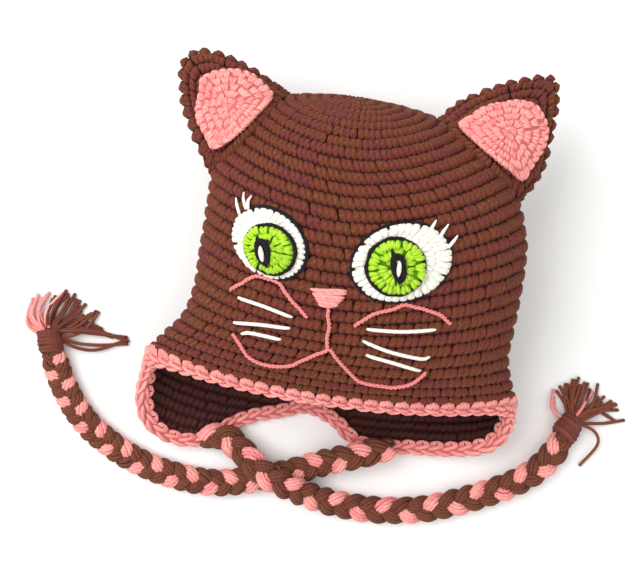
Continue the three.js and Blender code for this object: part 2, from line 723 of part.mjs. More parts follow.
// Tassels: a wrapped head with locks of yarn that fan out on the surface
function lockBody(start, heading, reach) {
  const shares = [0, 0.3, 0.65, 1.0];
  const widths = [0.45, 0.8, 1.0, 0.72];
  const along = new THREE.Vector3(Math.cos(heading), Math.sin(heading), 0);
  const across = new THREE.Vector3(-along.y, along.x, 0);
  const sections = shares.map((share, k) => {
    const middle = start.clone().addScaledVector(along, share * reach);
    middle.z = THREE.MathUtils.lerp(start.z, lockHeight / 2, Math.min(share * 2.2, 1));
    const half = (lockWidth * widths[k]) / 2;
    const corners = [[1, 0], [0.6, 1], [-0.6, 1], [-1, 0], [-0.6, -1], [0.6, -1]];
    return corners.map(([side, up]) => middle.clone().addScaledVector(across, side * half)
      .add(new THREE.Vector3(0, 0, (up * lockHeight) / 2)));
  });
  return toSolid(sweptBody(sections, false));
}

function tasselBody(route, locks) {
  const [x, y, z] = route[route.length - 1];
  const [beforeX, beforeY] = route[route.length - 2];
  const heading = Math.atan2(y - beforeY, x - beforeX);
  const along = new THREE.Vector3(Math.cos(heading), Math.sin(heading), 0);
  const head = new THREE.SphereGeometry(0.5, 12, 8);
  head.scale(tasselHeadLength, tasselHeadWidth, tasselHeadWidth * 0.94);
  head.rotateZ(heading);
  const middle = new THREE.Vector3(x, y, z).addScaledVector(along, tasselHeadLength / 2 + seamGap);
  middle.z = tasselHeadWidth * 0.47;
  head.translate(middle.x, middle.y, middle.z);
  let solid = toSolid(head);
  const root = middle.clone().addScaledVector(along, tasselHeadLength * 0.22);
  root.z = middle.z * 0.8;
  for (const lock of locks) {
    solid = solid.add(lockBody(root, lock.heading * degree, lock.reach * lockLength));
  }
  return toGeometry(solid);
}

addPiece('tassel_left', tasselBody(braidRouteRight, tasselLocksLeft), darkBrown);
addPiece('tassel_right', tasselBody(braidRouteLeft, tasselLocksRight), darkBrown);

// The origin is the middle of the underside of the hat without its ties and tassels
const bounds = new THREE.Box3();
for (const piece of hat.children) {
  if (!piece.name.startsWith('braid_') && !piece.name.startsWith('tassel_')) {
    bounds.expandByObject(piece);
  }
}
const middle = bounds.getCenter(new THREE.Vector3());
hat.position.set(-middle.x, -middle.y, -bounds.min.z);
hat.updateMatrixWorld(true);

export default hat;
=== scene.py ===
import math

import bmesh
import bpy
import numpy as np
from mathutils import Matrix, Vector
from mathutils.bvhtree import BVHTree


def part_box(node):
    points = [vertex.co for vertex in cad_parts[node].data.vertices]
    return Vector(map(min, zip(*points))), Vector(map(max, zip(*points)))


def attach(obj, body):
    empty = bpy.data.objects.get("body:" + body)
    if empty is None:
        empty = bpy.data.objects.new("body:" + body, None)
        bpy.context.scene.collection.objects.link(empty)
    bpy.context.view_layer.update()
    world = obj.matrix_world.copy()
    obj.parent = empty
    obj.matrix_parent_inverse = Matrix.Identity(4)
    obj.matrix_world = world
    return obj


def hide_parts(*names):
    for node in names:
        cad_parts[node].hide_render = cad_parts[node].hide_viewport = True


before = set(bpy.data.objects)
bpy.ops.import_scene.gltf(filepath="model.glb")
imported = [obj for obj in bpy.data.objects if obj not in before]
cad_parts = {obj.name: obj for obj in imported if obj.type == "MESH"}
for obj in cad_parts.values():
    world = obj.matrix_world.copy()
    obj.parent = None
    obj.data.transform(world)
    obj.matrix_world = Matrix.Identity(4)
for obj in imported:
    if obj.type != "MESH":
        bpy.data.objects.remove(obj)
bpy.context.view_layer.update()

# A crocheted baby hat with cat ears, earflaps and braided ties, lying on its back. Metres, in the
# row frame: +Z is the face side, +Y runs from the brim to the crown and Z = 0 is the cloth.
# Every stitch is real geometry: templates of a few dozen faces are laid over the surfaces of the CAD.

mm = 0.001
degree = math.pi / 180
rng = np.random.default_rng(41)

# Shell, as in the CAD: sections from the crown to the brim
shell = {
    "width": 0.164, "depth": 0.141, "height": 0.099, "wall": 0.0046, "brimPlace": -0.06,
    "faceSquareness": 0.91, "backSquareness": 0.74,
    "columns": ("x", "w", "yTop", "ySide", "yBack", "zTop", "zSide", "zBack"),
    "sections": (
        (-0.091, 0, 1.0, 1.0, 1.0, 0.566, 0.566, 0.566),
        (-0.088, 0.104, 0.97, 0.991, 1.014, 0.667, 0.566, 0.465),
        (-0.079, 0.226, 0.93, 0.972, 1.011, 0.763, 0.556, 0.364),
        (-0.064, 0.317, 0.884, 0.929, 0.982, 0.854, 0.54, 0.268),
        (-0.046, 0.39, 0.823, 0.869, 0.929, 0.924, 0.52, 0.172),
        (-0.024, 0.445, 0.745, 0.784, 0.848, 0.973, 0.5, 0.086),
        (-0.015, 0.482, 0.66, 0.674, 0.723, 0.994, 0.485, 0.02),
        (-0.003, 0.497, 0.567, 0.553, 0.574, 1.0, 0.475, -0.01),
        (-0.003, 0.5, 0.411, 0.404, 0.411, 0.985, 0.465, -0.015),
        (-0.006, 0.5, 0.27, 0.27, 0.255, 0.939, 0.439, -0.015),
        (-0.018, 0.512, 0.142, 0.156, 0.106, 0.859, 0.394, -0.015),
        (-0.034, 0.555, 0.028, 0.071, -0.021, 0.747, 0.333, -0.015),
        (-0.043, 0.595, -0.067, 0.0, -0.121, 0.606, 0.273, -0.015),
    ),
}


def hermite(part):
    square, cube = part ** 2, part ** 3
    return 2 * cube - 3 * square + 1, cube - 2 * square + part, 3 * square - 2 * cube, cube - square


# Smooth value of a list of knots at a share of the way along it
def smoothAt(values, share):
    values = np.asarray(values, float)
    place = np.clip(share, 0, 1) * (len(values) - 1)
    row = np.minimum(place.astype(int) if np.ndim(place) else int(place), len(values) - 2)
    slopes = np.gradient(values, axis=0)
    a, b, c, d = hermite(place - row)
    if values.ndim > 1 and np.ndim(place):
        a, b, c, d = (x[..., None] for x in (a, b, c, d))
    return a * values[row] + b * slopes[row] + c * values[row + 1] + d * slopes[row + 1]


def shellAt(share, turn):
    share, turn = np.broadcast_arrays(np.asarray(share, float), np.asarray(turn, float))
    at = {name: smoothAt([row[k] for row in shell["sections"]], share)
          for k, name in enumerate(shell["columns"])}
    across, up = np.cos(turn), np.sin(turn)
    square = np.where(up > 0, shell["faceSquareness"], shell["backSquareness"])
    acrossShare = np.sign(across) * np.abs(across) ** square
    upShare = np.sign(up) * np.abs(up) ** square
    lean = (at["yTop"] - at["yBack"]) / 2
    sag = (at["yTop"] + at["yBack"]) / 2 - at["ySide"]
    along = at["ySide"] + lean * upShare + sag * upShare ** 2
    reach = np.where(up > 0, at["zTop"] - at["zSide"], at["zSide"] - at["zBack"])
    height = at["zSide"] + reach * upShare
    return np.stack([
        shell["width"] * (at["x"] + at["w"] * acrossShare),
        shell["brimPlace"] + shell["depth"] * along,
        np.maximum(shell["height"] * height, 0),
    ], axis=-1)


def unit(vectors):
    return vectors / np.maximum(np.linalg.norm(vectors, axis=-1, keepdims=True), 1e-12)


# Lengths along lines of points that run down the first axis, from 0 at their start
def arcLengths(points):
    steps = np.linalg.norm(np.diff(points, axis=0), axis=-1)
    return np.concatenate([np.zeros((1,) + steps.shape[1:]), np.cumsum(steps, axis=0)])


def shellNormalAt(share, turn):
    step = 0.004
    near = np.maximum(share, 0.02)
    around = shellAt(near, turn + step * 4) - shellAt(near, turn - step * 4)
    down = shellAt(np.minimum(near + step, 1), turn) - shellAt(near - step, turn)
    return unit(np.cross(around, down))


# The CAD is centred on its own box, so everything moves by the same step
coarseShares, coarseTurns = np.meshgrid(np.arange(0, 21) / 20, np.arange(40) / 40 * 2 * math.pi)
coarse = shellAt(coarseShares, coarseTurns).reshape(-1, 3)
bodyLow, bodyHigh = (np.array(corner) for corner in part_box("hat_body"))
shift = ((bodyLow + bodyHigh) - (coarse.min(0) + coarse.max(0))) / 2
shift[2] = 0


# Camera: straight above the hat, as far as the photo's perspective says
camera = {"height": 0.65, "look": (-0.01165, -0.01116), "roll": 8.1, "lens": 66.5, "sensor": 36, "farEnd": 10}


def addCamera():
    data = bpy.data.cameras.new("camera")
    data.lens = camera["lens"]
    data.sensor_width = camera["sensor"]
    data.clip_end = camera["farEnd"]
    obj = bpy.data.objects.new("camera", data)
    x, y = camera["look"]
    obj.location = (x, y, camera["height"])
    obj.rotation_euler = (0, 0, camera["roll"] * degree)
    bpy.context.scene.collection.objects.link(obj)
    bpy.context.scene.camera = obj


addCamera()


# Materials
def linear(hexColour):
    values = [int(hexColour[k:k + 2], 16) / 255 for k in (1, 3, 5)]
    return tuple(v / 12.92 if v <= 0.04045 else ((v + 0.055) / 1.055) ** 2.4 for v in values) + (1.0,)


def addNode(tree, kind, links=(), **settings):
    node = tree.nodes.new(kind)
    for key, value in settings.items():
        if key.startswith("in_"):
            slot = key[3:]
            node.inputs[int(slot) if slot.isdigit() else slot].default_value = value
        else:
            setattr(node, key, value)
    for socket, source in links:
        tree.links.new(source, node.inputs[socket])
    return node


def fillRamp(node, stops):
    ramp = node.color_ramp
    while len(ramp.elements) < len(stops):
        ramp.elements.new(0.5)
    for element, (place, colour) in zip(ramp.elements, stops):
        element.position = place
        element.color = linear(colour)


# Sizes in the yarn: blotches, fibres, the share of a ply that its groove takes, how dark the groove's painted
# shade is and how much of that shows, and how far plies and fibres stand out
yarnPattern = {"blotch": mm / 0.56, "fibre": mm / 2.6, "grooveWidth": 0.18, "grooveShade": 0.5,
               "grooveMix": 0.75, "plyRise": 0.5 * mm, "fibreRise": 0.12 * mm}


# Plied yarn. The tint attribute moves each stitch through the stops, the yarn UV holds millimetres
# along the strand and turns round it, and the plies lie across it in slanting ridges.
def yarnMaterial(name, stops, plies=4, slant=0.35, ply=0.35, fuzz=0.5, sheen=0.25, mottle=0.3):
    material = bpy.data.materials.new(name)
    material.use_nodes = True
    tree = material.node_tree
    tree.nodes.clear()
    tint = addNode(tree, "ShaderNodeAttribute", attribute_name="tint")
    coords = addNode(tree, "ShaderNodeTexCoord")
    # Blotches of about two millimetres, as the dyed yarn has
    blotch = addNode(tree, "ShaderNodeTexNoise", [("Vector", coords.outputs["Object"])],
                     in_Scale=1 / yarnPattern["blotch"], in_Detail=1.5)
    spread = addNode(tree, "ShaderNodeMath", [(0, blotch.outputs["Fac"])], operation="SUBTRACT", in_1=0.5)
    shade = addNode(tree, "ShaderNodeMath", [(0, spread.outputs[0]), (2, tint.outputs["Fac"])],
                    operation="MULTIPLY_ADD", in_1=mottle * 2)
    ramp = addNode(tree, "ShaderNodeValToRGB", [("Fac", shade.outputs[0])])
    fillRamp(ramp, stops)
    strand = addNode(tree, "ShaderNodeUVMap", uv_map="yarn")
    split = addNode(tree, "ShaderNodeSeparateXYZ", [("Vector", strand.outputs["UV"])])
    along = addNode(tree, "ShaderNodeMath", [(0, split.outputs["X"])], operation="MULTIPLY", in_1=slant)
    turns = addNode(tree, "ShaderNodeMath", [(0, split.outputs["Y"]), (2, along.outputs[0])],
                    operation="MULTIPLY_ADD", in_1=float(plies))
    wave = addNode(tree, "ShaderNodeMath", [(0, turns.outputs[0])], operation="PINGPONG", in_1=0.5)
    groove = addNode(tree, "ShaderNodeMapRange", [("Value", wave.outputs[0])],
                     in_1=0.0, in_2=yarnPattern["grooveWidth"], in_3=yarnPattern["grooveShade"], in_4=1.0)
    fibre = addNode(tree, "ShaderNodeTexNoise", [("Vector", coords.outputs["Object"])],
                    in_Scale=1 / yarnPattern["fibre"], in_Detail=3.0)
    # The grooves between the plies darken the colour: painted shade
    # Inputs 6 and 7 and output 2 are the mix node's colours
    grooveShadedColour = addNode(tree, "ShaderNodeMix", [(6, ramp.outputs["Color"]), (7, groove.outputs[0])],
                   data_type="RGBA", blend_type="MULTIPLY", in_0=yarnPattern["grooveMix"])
    bumpPly = addNode(tree, "ShaderNodeBump", [("Height", wave.outputs[0])],
                      in_Strength=ply, in_Distance=yarnPattern["plyRise"])
    bumpFibre = addNode(tree, "ShaderNodeBump",
                        [("Height", fibre.outputs["Fac"]), ("Normal", bumpPly.outputs["Normal"])],
                        in_Strength=fuzz, in_Distance=yarnPattern["fibreRise"])
    surface = addNode(tree, "ShaderNodeBsdfPrincipled",
                      [("Base Color", grooveShadedColour.outputs[2]), ("Normal", bumpFibre.outputs["Normal"])],
                      in_Roughness=0.85, **{"in_Sheen Weight": sheen, "in_Sheen Roughness": 0.5,
                                            "in_Specular IOR Level": 0.25})
    addNode(tree, "ShaderNodeOutputMaterial", [("Surface", surface.outputs["BSDF"])])
    return material


# Crocheted fabric seen in the depth between the stitches: no more than a soft ground, darker than its yarn as
# painted shade
def shadeGroundMaterial(name, colour):
    material = bpy.data.materials.new(name)
    material.use_nodes = True
    tree = material.node_tree
    tree.nodes.clear()
    coords = addNode(tree, "ShaderNodeTexCoord")
    fibre = addNode(tree, "ShaderNodeTexNoise", [("Vector", coords.outputs["Object"])],
                    in_Scale=900.0, in_Detail=3.0)
    bump = addNode(tree, "ShaderNodeBump", [("Height", fibre.outputs["Fac"])],
                   in_Strength=0.6, in_Distance=0.3 * mm)
    surface = addNode(tree, "ShaderNodeBsdfPrincipled", [("Normal", bump.outputs["Normal"])],
                      in_Roughness=0.95, **{"in_Base Color": linear(colour), "in_Specular IOR Level": 0.1})
    addNode(tree, "ShaderNodeOutputMaterial", [("Surface", surface.outputs["BSDF"])])
    return material


# Marled brown cotton: reddish brown, mauve and olive stitches side by side
brownYarn = yarnMaterial("brown_marled_cotton", [
    (0.0, "#632A33"), (0.22, "#6B302B"), (0.42, "#773626"), (0.62, "#713820"), (0.8, "#5E381B"),
    (1.0, "#834130"),
], plies=5, ply=0.75, mottle=1.0, fuzz=0.9, sheen=0.04)
# The same yarn on the inside, where the fabric is closed and hardly any light comes in: its stops are darker,
# as painted shade
insideShadedYarn = yarnMaterial("brown_marled_cotton_inside_painted_shade", [
    (0.0, "#3A1A24"), (0.5, "#47211B"), (1.0, "#402412"),
], plies=5, mottle=0.8, fuzz=0.7, sheen=0.0)
# Brown cotton of the braids and tassels: the same yarn, darker where it isn't worked up
braidBrown = yarnMaterial("brown_cotton_strand", [
    (0.0, "#66312F"), (0.5, "#74402D"), (1.0, "#6E4426"),
], plies=3, slant=0.5, ply=0.4, mottle=0.6, sheen=0.04)
tasselBrown = yarnMaterial("brown_cotton_ends", [
    (0.0, "#6A3330"), (0.5, "#763D2E"), (1.0, "#824C34"),
], plies=3, slant=0.6, ply=0.4, mottle=0.5, sheen=0.04)
# Pink cotton: soft matte, a little orange where it is thin
pinkYarn = yarnMaterial("pink_cotton", [
    (0.0, "#EC8886"), (0.5, "#F69E98"), (1.0, "#FFB2A6"),
], plies=4, slant=0.3, ply=0.5, mottle=0.4, sheen=0.05)
# Cream cotton of the eye whites, lashes and whiskers: nearly white
creamYarn = yarnMaterial("cream_cotton", [
    (0.0, "#EFEADB"), (0.5, "#F5F1E4"), (1.0, "#FAF7EC"),
], plies=3, slant=0.3, ply=0.15, mottle=0.2, sheen=0.0)
# Lime green cotton of the irises, darker in the gaps
greenYarn = yarnMaterial("green_cotton", [
    (0.0, "#93C428"), (0.5, "#AEDA34"), (1.0, "#C4E84E"),
], plies=4, slant=0.3, ply=0.4, mottle=0.4, sheen=0.02)
# Black cotton of the pupils and outlines: a little blue
blackYarn = yarnMaterial("black_cotton", [
    (0.0, "#0C0A0F"), (0.5, "#131017"), (1.0, "#1D1922"),
], plies=3, slant=0.5, ply=0.4, mottle=0.2, sheen=0.05)
# Grounds: each yarn's colour darkened, painted shade for the gaps between stitches
brownShadeGround = shadeGroundMaterial("brown_depth_painted_shade", "#3A1714")
pinkShadeGround = shadeGroundMaterial("pink_depth_painted_shade", "#C4686A")
creamShadeGround = shadeGroundMaterial("cream_depth_painted_shade", "#EDE8DA")
greenShadeGround = shadeGroundMaterial("green_depth_painted_shade", "#5E9A14")
print("materials made")


# Templates. A leg of a stitch is a small ball drawn out along z; its loops carry the strand's
# length share and turn. Points are in shares: x across, y down, z out of the fabric.
def legTemplate(sides, rings):
    bm = bmesh.new()
    bmesh.ops.create_uvsphere(bm, u_segments=sides, v_segments=rings, radius=1.0)
    bm.verts.index_update()
    points = np.array([v.co for v in bm.verts])
    loops, totals, turns, lengths = [], [], [], []
    for face in bm.faces:
        corners = [v.index for v in face.verts]
        angles = [math.atan2(points[k][1], points[k][0]) / (2 * math.pi) for k in corners]
        poles = [abs(abs(points[k][2]) - 1) < 1e-6 for k in corners]
        first = next(a for a, pole in zip(angles, poles) if not pole)
        angles = [a + round(first - a) for a in angles]
        middle = sum(a for a, pole in zip(angles, poles) if not pole) / (len(poles) - sum(poles))
        for k, angle, pole in zip(corners, angles, poles):
            loops.append(k)
            turns.append(middle if pole else angle)
            lengths.append((points[k][2] + 1) / 2)
        totals.append(len(corners))
    bm.free()
    return {"ball": points, "loops": np.array(loops), "totals": np.array(totals),
            "turns": np.array(turns), "lengths": np.array(lengths)}


# Bends the ball along a line: start, control and end in (across, down, out), in shares of the stitch's
# size in millimetres; wide and thick are half the strand's own, in millimetres
def bentLeg(leg, start, bend, end, wide, thick, millimetres, size=(7.0, 6.2, 2.1), full=2.6):
    share = (leg["ball"][:, 2] + 1) / 2
    start, bend, end = (np.array(p, float) * size for p in (start, bend, end))
    line = ((1 - share)[:, None] ** 2) * start + (2 * share * (1 - share))[:, None] * bend \
        + (share ** 2)[:, None] * end
    along = unit(2 * (1 - share)[:, None] * (bend - start) + 2 * share[:, None] * (end - bend))
    radius = np.sqrt(np.maximum(1 - leg["ball"][:, 2] ** 2, 1e-9))
    profile = (1 - np.abs(leg["ball"][:, 2]) ** full) ** 0.5
    ringX = leg["ball"][:, 0] / np.maximum(radius, 1e-3) * profile
    ringY = leg["ball"][:, 1] / np.maximum(radius, 1e-3) * profile
    ringX[radius < 1e-3] = 0
    ringY[radius < 1e-3] = 0
    out = np.array([0.0, 0.0, 1.0])
    side = unit(np.cross(along, out))
    up = np.cross(side, along)
    points = line + side * (ringX * wide)[:, None] + up * (ringY * thick)[:, None]
    return {"points": points / size, "loops": leg["loops"], "totals": leg["totals"],
            "uv": np.stack([leg["lengths"] * millimetres, leg["turns"]], axis=1)}


def joinedTemplate(parts):
    points, loops, totals, uv, base = [], [], [], [], 0
    for part in parts:
        points.append(part["points"])
        loops.append(part["loops"] + base)
        totals.append(part["totals"])
        uv.append(part["uv"])
        base += len(part["points"])
    return {"points": np.concatenate(points), "loops": np.concatenate(loops),
            "totals": np.concatenate(totals), "uv": np.concatenate(uv)}


# Meshes from arrays
def emptyParts():
    return {"points": [], "loops": [], "totals": [], "uv": [], "tint": [], "slot": [], "count": 0}


# Copies of a template; places has one row of points for each copy
def addCopies(parts, template, places, tints, slot=0):
    copies, count = places.shape[:2]
    offsets = parts["count"] + np.arange(copies)[:, None] * count
    parts["points"].append(places.reshape(-1, 3))
    parts["loops"].append((template["loops"][None, :] + offsets).reshape(-1))
    parts["totals"].append(np.tile(template["totals"], copies))
    parts["uv"].append(np.tile(template["uv"], (copies, 1)))
    parts["tint"].append(np.repeat(tints, count))
    parts["slot"].append(np.full(len(template["totals"]) * copies, slot))
    parts["count"] += copies * count


def buildObject(name, parts, materials):
    mesh = bpy.data.meshes.new(name)
    points = np.concatenate(parts["points"]) + shift
    points[:, 2] = np.maximum(points[:, 2], 0.0001)
    loops = np.concatenate(parts["loops"]).astype(np.int32)
    totals = np.concatenate(parts["totals"]).astype(np.int32)
    mesh.vertices.add(len(points))
    mesh.vertices.foreach_set("co", points.astype(np.float32).ravel())
    mesh.loops.add(len(loops))
    mesh.loops.foreach_set("vertex_index", loops)
    mesh.polygons.add(len(totals))
    mesh.polygons.foreach_set("loop_start", np.concatenate([[0], np.cumsum(totals)[:-1]]).astype(np.int32))
    mesh.polygons.foreach_set("loop_total", totals)
    mesh.polygons.foreach_set("material_index", np.concatenate(parts["slot"]).astype(np.int32))
    mesh.polygons.foreach_set("use_smooth", np.full(len(totals), True))
    mesh.update(calc_edges=True)
    layer = mesh.uv_layers.new(name="yarn")
    layer.data.foreach_set("uv", np.concatenate(parts["uv"]).astype(np.float32).ravel())
    tint = mesh.attributes.new("tint", "FLOAT", "POINT")
    tint.data.foreach_set("value", np.concatenate(parts["tint"]).astype(np.float32))
    mesh.validate()
    for material in materials:
        mesh.materials.append(material)
    obj = bpy.data.objects.new(name, mesh)
    bpy.context.scene.collection.objects.link(obj)
    triangles = int((totals - 2).sum())
    print(f"{name}: {triangles} triangles")
    return obj


def finishPiece(name, parts, materials, slotName, *nodes):
    obj = buildObject(name, parts, materials)
    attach(obj, "root")
    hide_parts(*nodes)
    return obj


# A closed surface as a grid: rows run down it, columns round it
def makeField(points):
    wide = np.concatenate([points[:, -2:-1], points, points[:, 1:2]], axis=1)
    around = wide[:, 2:] - wide[:, :-2]
    down = np.gradient(points, axis=0)
    return {"points": points, "normals": unit(np.cross(around, down)), "closed": True}


# Points on a field, from shares of the way down it and round it, and a height out of it
def onField(field, down, around, height):
    points, normals = field["points"], field["normals"]
    rows, columns = points.shape[0] - 1, points.shape[1] - 1
    around = np.mod(around, 1.0) if field["closed"] else np.clip(around, 0, 1)
    a = np.clip(down, 0, 1) * rows
    b = around * columns
    i = np.minimum(a.astype(int), rows - 1)
    j = np.minimum(b.astype(int), columns - 1)
    p, q = (a - i)[..., None], (b - j)[..., None]

    def sample(grid):
        return (grid[i, j] * (1 - p) + grid[i + 1, j] * p) * (1 - q) \
            + (grid[i, j + 1] * (1 - p) + grid[i + 1, j + 1] * p) * q

    return sample(points) + unit(sample(normals)) * np.asarray(height)[..., None]


# Lays a template on a field. Sizes are shares of the field's own down and around, and metres out
def layStitches(parts, field, template, down, around, downSize, aroundSize, outSize, lift, tints,
                slot=0, jitter=0.05):
    down = np.broadcast_to(down, around.shape)
    t = template["points"]
    wobble = rng.normal(0, jitter, (len(around), 3))
    u = t[None, :, 0] + wobble[:, 0:1]
    v = t[None, :, 1] + wobble[:, 1:2] * 0.7
    w = t[None, :, 2] * (1 + wobble[:, 2:3])
    places = onField(field, down[:, None] + v * np.asarray(downSize)[..., None],
                     around[:, None] + u * np.asarray(aroundSize)[..., None], w * outSize + lift)
    addCopies(parts, template, places, tints, slot)


# Tints that stay alike for one to three stitches, as marled yarn does
def marledTints(count):
    tints = np.empty(count)
    k = 0
    while k < count:
        run = rng.integers(1, 4)
        tints[k:k + run] = rng.random()
        k += run
    return tints * 0.5 + 0.25


# A solid sheet under the stitches, from a grid of points
def addGrid(parts, points, slot=0, closed=False, flip=False):
    rows, columns = points.shape[:2]
    index = np.arange(rows * columns).reshape(rows, columns)
    if closed:
        index = np.concatenate([index, index[:, :1]], axis=1)
    a, b, c, d = index[:-1, :-1], index[:-1, 1:], index[1:, 1:], index[1:, :-1]
    order = (a, d, c, b) if flip else (a, b, c, d)
    faces = np.stack(order, axis=-1).reshape(-1, 4)
    template = {"loops": faces.reshape(-1), "totals": np.full(len(faces), 4),
                "uv": np.zeros((len(faces) * 4, 2))}
    addCopies(parts, template, points.reshape(1, -1, 3), np.array([0.5]), slot)


leg = legTemplate(6, 7)
smallLeg = legTemplate(5, 5)


# The plump single crochet of the brown fabric: two thick legs that part downwards
def plumpLegs(ball):
    return joinedTemplate([
        bentLeg(ball, (side * 0.17, -0.47, -0.5), (side * 0.21, -0.13, 2.0), (side * 0.29, 0.49, -0.5),
                2.25, 1.45, 8, full=3.4) for side in (-1, 1)
    ])


plumpStitch = plumpLegs(leg)
insideStitch = plumpLegs(smallLeg)
print("stitch templates made")


# Rounds of the crown and sides: evenly spaced at the crown, equal shares of the way at the brim
knit = {"rounds": 30, "roundHeight": 0.0061, "stitches": 60, "growing": 6, "fine": 4, "columns": 600,
        "stitchHeight": 0.0021, "lift": -0.0019, "groundDepth": 0.0016, "drift": 0.36, "jitter": 0.035,
        "insideHeight": 0.0019, "insideLift": -0.0020, "crownRounds": 18}


def knitGrid():
    turns = -math.pi / 2 + np.linspace(0, 2 * math.pi, 721)
    shares = np.linspace(0, 1, 401)
    surface = shellAt(shares[:, None], turns[None, :])
    arc = arcLengths(surface)
    rows = knit["rounds"] * knit["fine"] + 1
    down = np.linspace(0, 1, rows)
    blend = down ** 2 * (3 - 2 * down)
    target = (1 - blend)[:, None] * (down * knit["rounds"] * knit["roundHeight"])[:, None] \
        + (blend * down)[:, None] * arc[-1][None, :]
    grid = np.empty((rows, len(turns), 3))
    for column, turn in enumerate(turns):
        grid[:, column] = shellAt(np.interp(target[:, column], arc[:, column], shares), turn)
    even = np.linspace(0, 1, knit["columns"] + 1)
    points = np.empty((rows, len(even), 3))
    for row in range(rows):
        lengths = arcLengths(grid[row])
        if lengths[-1] < 1e-6:
            points[row] = grid[row, 0]
            continue
        for axis in range(3):
            points[row, :, axis] = np.interp(even, lengths / lengths[-1], grid[row, :, axis])
    return points


hatField = makeField(knitGrid())
hatField["normals"][0] = unit(hatField["normals"][2].mean(0))
insideField = {"points": hatField["points"] - shell["wall"] * hatField["normals"],
               "normals": -hatField["normals"], "closed": True}


def roundCount(k):
    return min(knit["growing"] * (k + 1), knit["stitches"])


def knitRounds(parts, field, template, first, last, outSize, lift):
    for k in range(first, last):
        count = roundCount(k)
        around = (np.arange(count) + knit["drift"] * k) / count
        layStitches(parts, field, template, (k + 0.5) / knit["rounds"], around, 1 / knit["rounds"],
                    1 / count, outSize, lift, marledTints(count), jitter=knit["jitter"])


for name, first, last in (("crown_stitches", 0, knit["crownRounds"]),
                          ("side_stitches", knit["crownRounds"], knit["rounds"])):
    parts = emptyParts()
    knitRounds(parts, hatField, plumpStitch, first, last, knit["stitchHeight"], knit["lift"])
    finishPiece(name, parts, [brownYarn], "brown_yarn", "hat_body")

# Stitches inside the hat, in the inside yarn's painted shade
parts = emptyParts()
knitRounds(parts, insideField, insideStitch, 1, knit["rounds"], knit["insideHeight"], knit["insideLift"])
finishPiece("inside_stitches", parts, [insideShadedYarn], "brown_yarn", "hat_body")

# Sheets of painted shade under the stitches, outside and inside
parts = emptyParts()
groundOut = hatField["points"] - knit["groundDepth"] * hatField["normals"]
groundIn = hatField["points"] - (shell["wall"] - knit["groundDepth"]) * hatField["normals"]
addGrid(parts, groundOut[::2, ::5])
addGrid(parts, groundIn[::2, ::5], flip=True)
finishPiece("fabric_depth", parts, [brownShadeGround], "brown_yarn", "hat_body")
print("hat body stitched")


# Where the face side of the shell is seen from straight above at x, y
def faceAt(x, y):
    x, y = np.broadcast_arrays(np.asarray(x, float), np.asarray(y, float))
    share = np.full(x.shape, 0.6)
    turn = np.full(x.shape, math.pi / 2)
    step = 0.001
    for _ in range(30):
        here = shellAt(share, turn)
        down = (shellAt(share + step, turn) - here) / step
        around = (shellAt(share, turn + step) - here) / step
        area = down[..., 0] * around[..., 1] - down[..., 1] * around[..., 0]
        gapX, gapY = x - here[..., 0], y - here[..., 1]
        share = np.clip(share + (gapX * around[..., 1] - gapY * around[..., 0]) / area, 0.05, 0.99)
        turn = np.clip(turn + (down[..., 0] * gapY - down[..., 1] * gapX) / area, 0.15, math.pi - 0.15)
    return shellAt(share, turn), shellNormalAt(share, turn)


# The photo's points: pixels from its upper left corner, laid on the hat at their own height. The scale is
# metres a pixel on the cloth.
photo = {"middle": (359, 265), "turnCos": 0.990, "turnSin": 0.141, "scale": 0.00055,
         "distance": camera["height"], "offset": (-0.0198, -0.01375), "start": (36, 25)}


# Where pixels lie from above, for a surface at that height
def photoPlace(pixels, height):
    pixels = np.asarray(pixels, float)
    dx, dy = pixels[..., 0] - photo["middle"][0], photo["middle"][1] - pixels[..., 1]
    across = photo["turnCos"] * dx - photo["turnSin"] * dy + photo["start"][0]
    up = photo["turnSin"] * dx + photo["turnCos"] * dy + photo["start"][1]
    scale = photo["scale"] * (1 - height / photo["distance"])
    return photo["offset"][0] + across * scale, photo["offset"][1] + up * scale


# Pixels on the face, on a surface that is lifted off it
def fromPhoto(pixels, lift):
    height = np.full(len(pixels), 0.09)
    for _ in range(4):
        x, y = photoPlace(pixels, height)
        place, normal = faceAt(x, y)
        height = place[:, 2] + lift
    return place + normal * lift, normal


def floorPoint(pixel, height):
    x, y = photoPlace(pixel, height)
    return np.array([x, y, height])


# A smooth line through points, in even steps
def smoothLine(points, step, closed=False):
    points = np.asarray(points, float)
    if closed:
        loop = np.concatenate([points[-2:], points, points[:3]])
        shares = np.linspace(2, 2 + len(points), 40 * len(points) + 1) / (len(loop) - 1)
        dense = smoothAt(loop, shares)
    else:
        dense = smoothAt(points, np.linspace(0, 1, 40 * len(points)))
    lengths = arcLengths(dense)
    count = max(int(round(lengths[-1] / step)), 4)
    even = np.linspace(0, lengths[-1], count + 1)
    if closed:
        even = even[:-1]
    return np.stack([np.interp(even, lengths, dense[:, axis]) for axis in range(3)], axis=1)


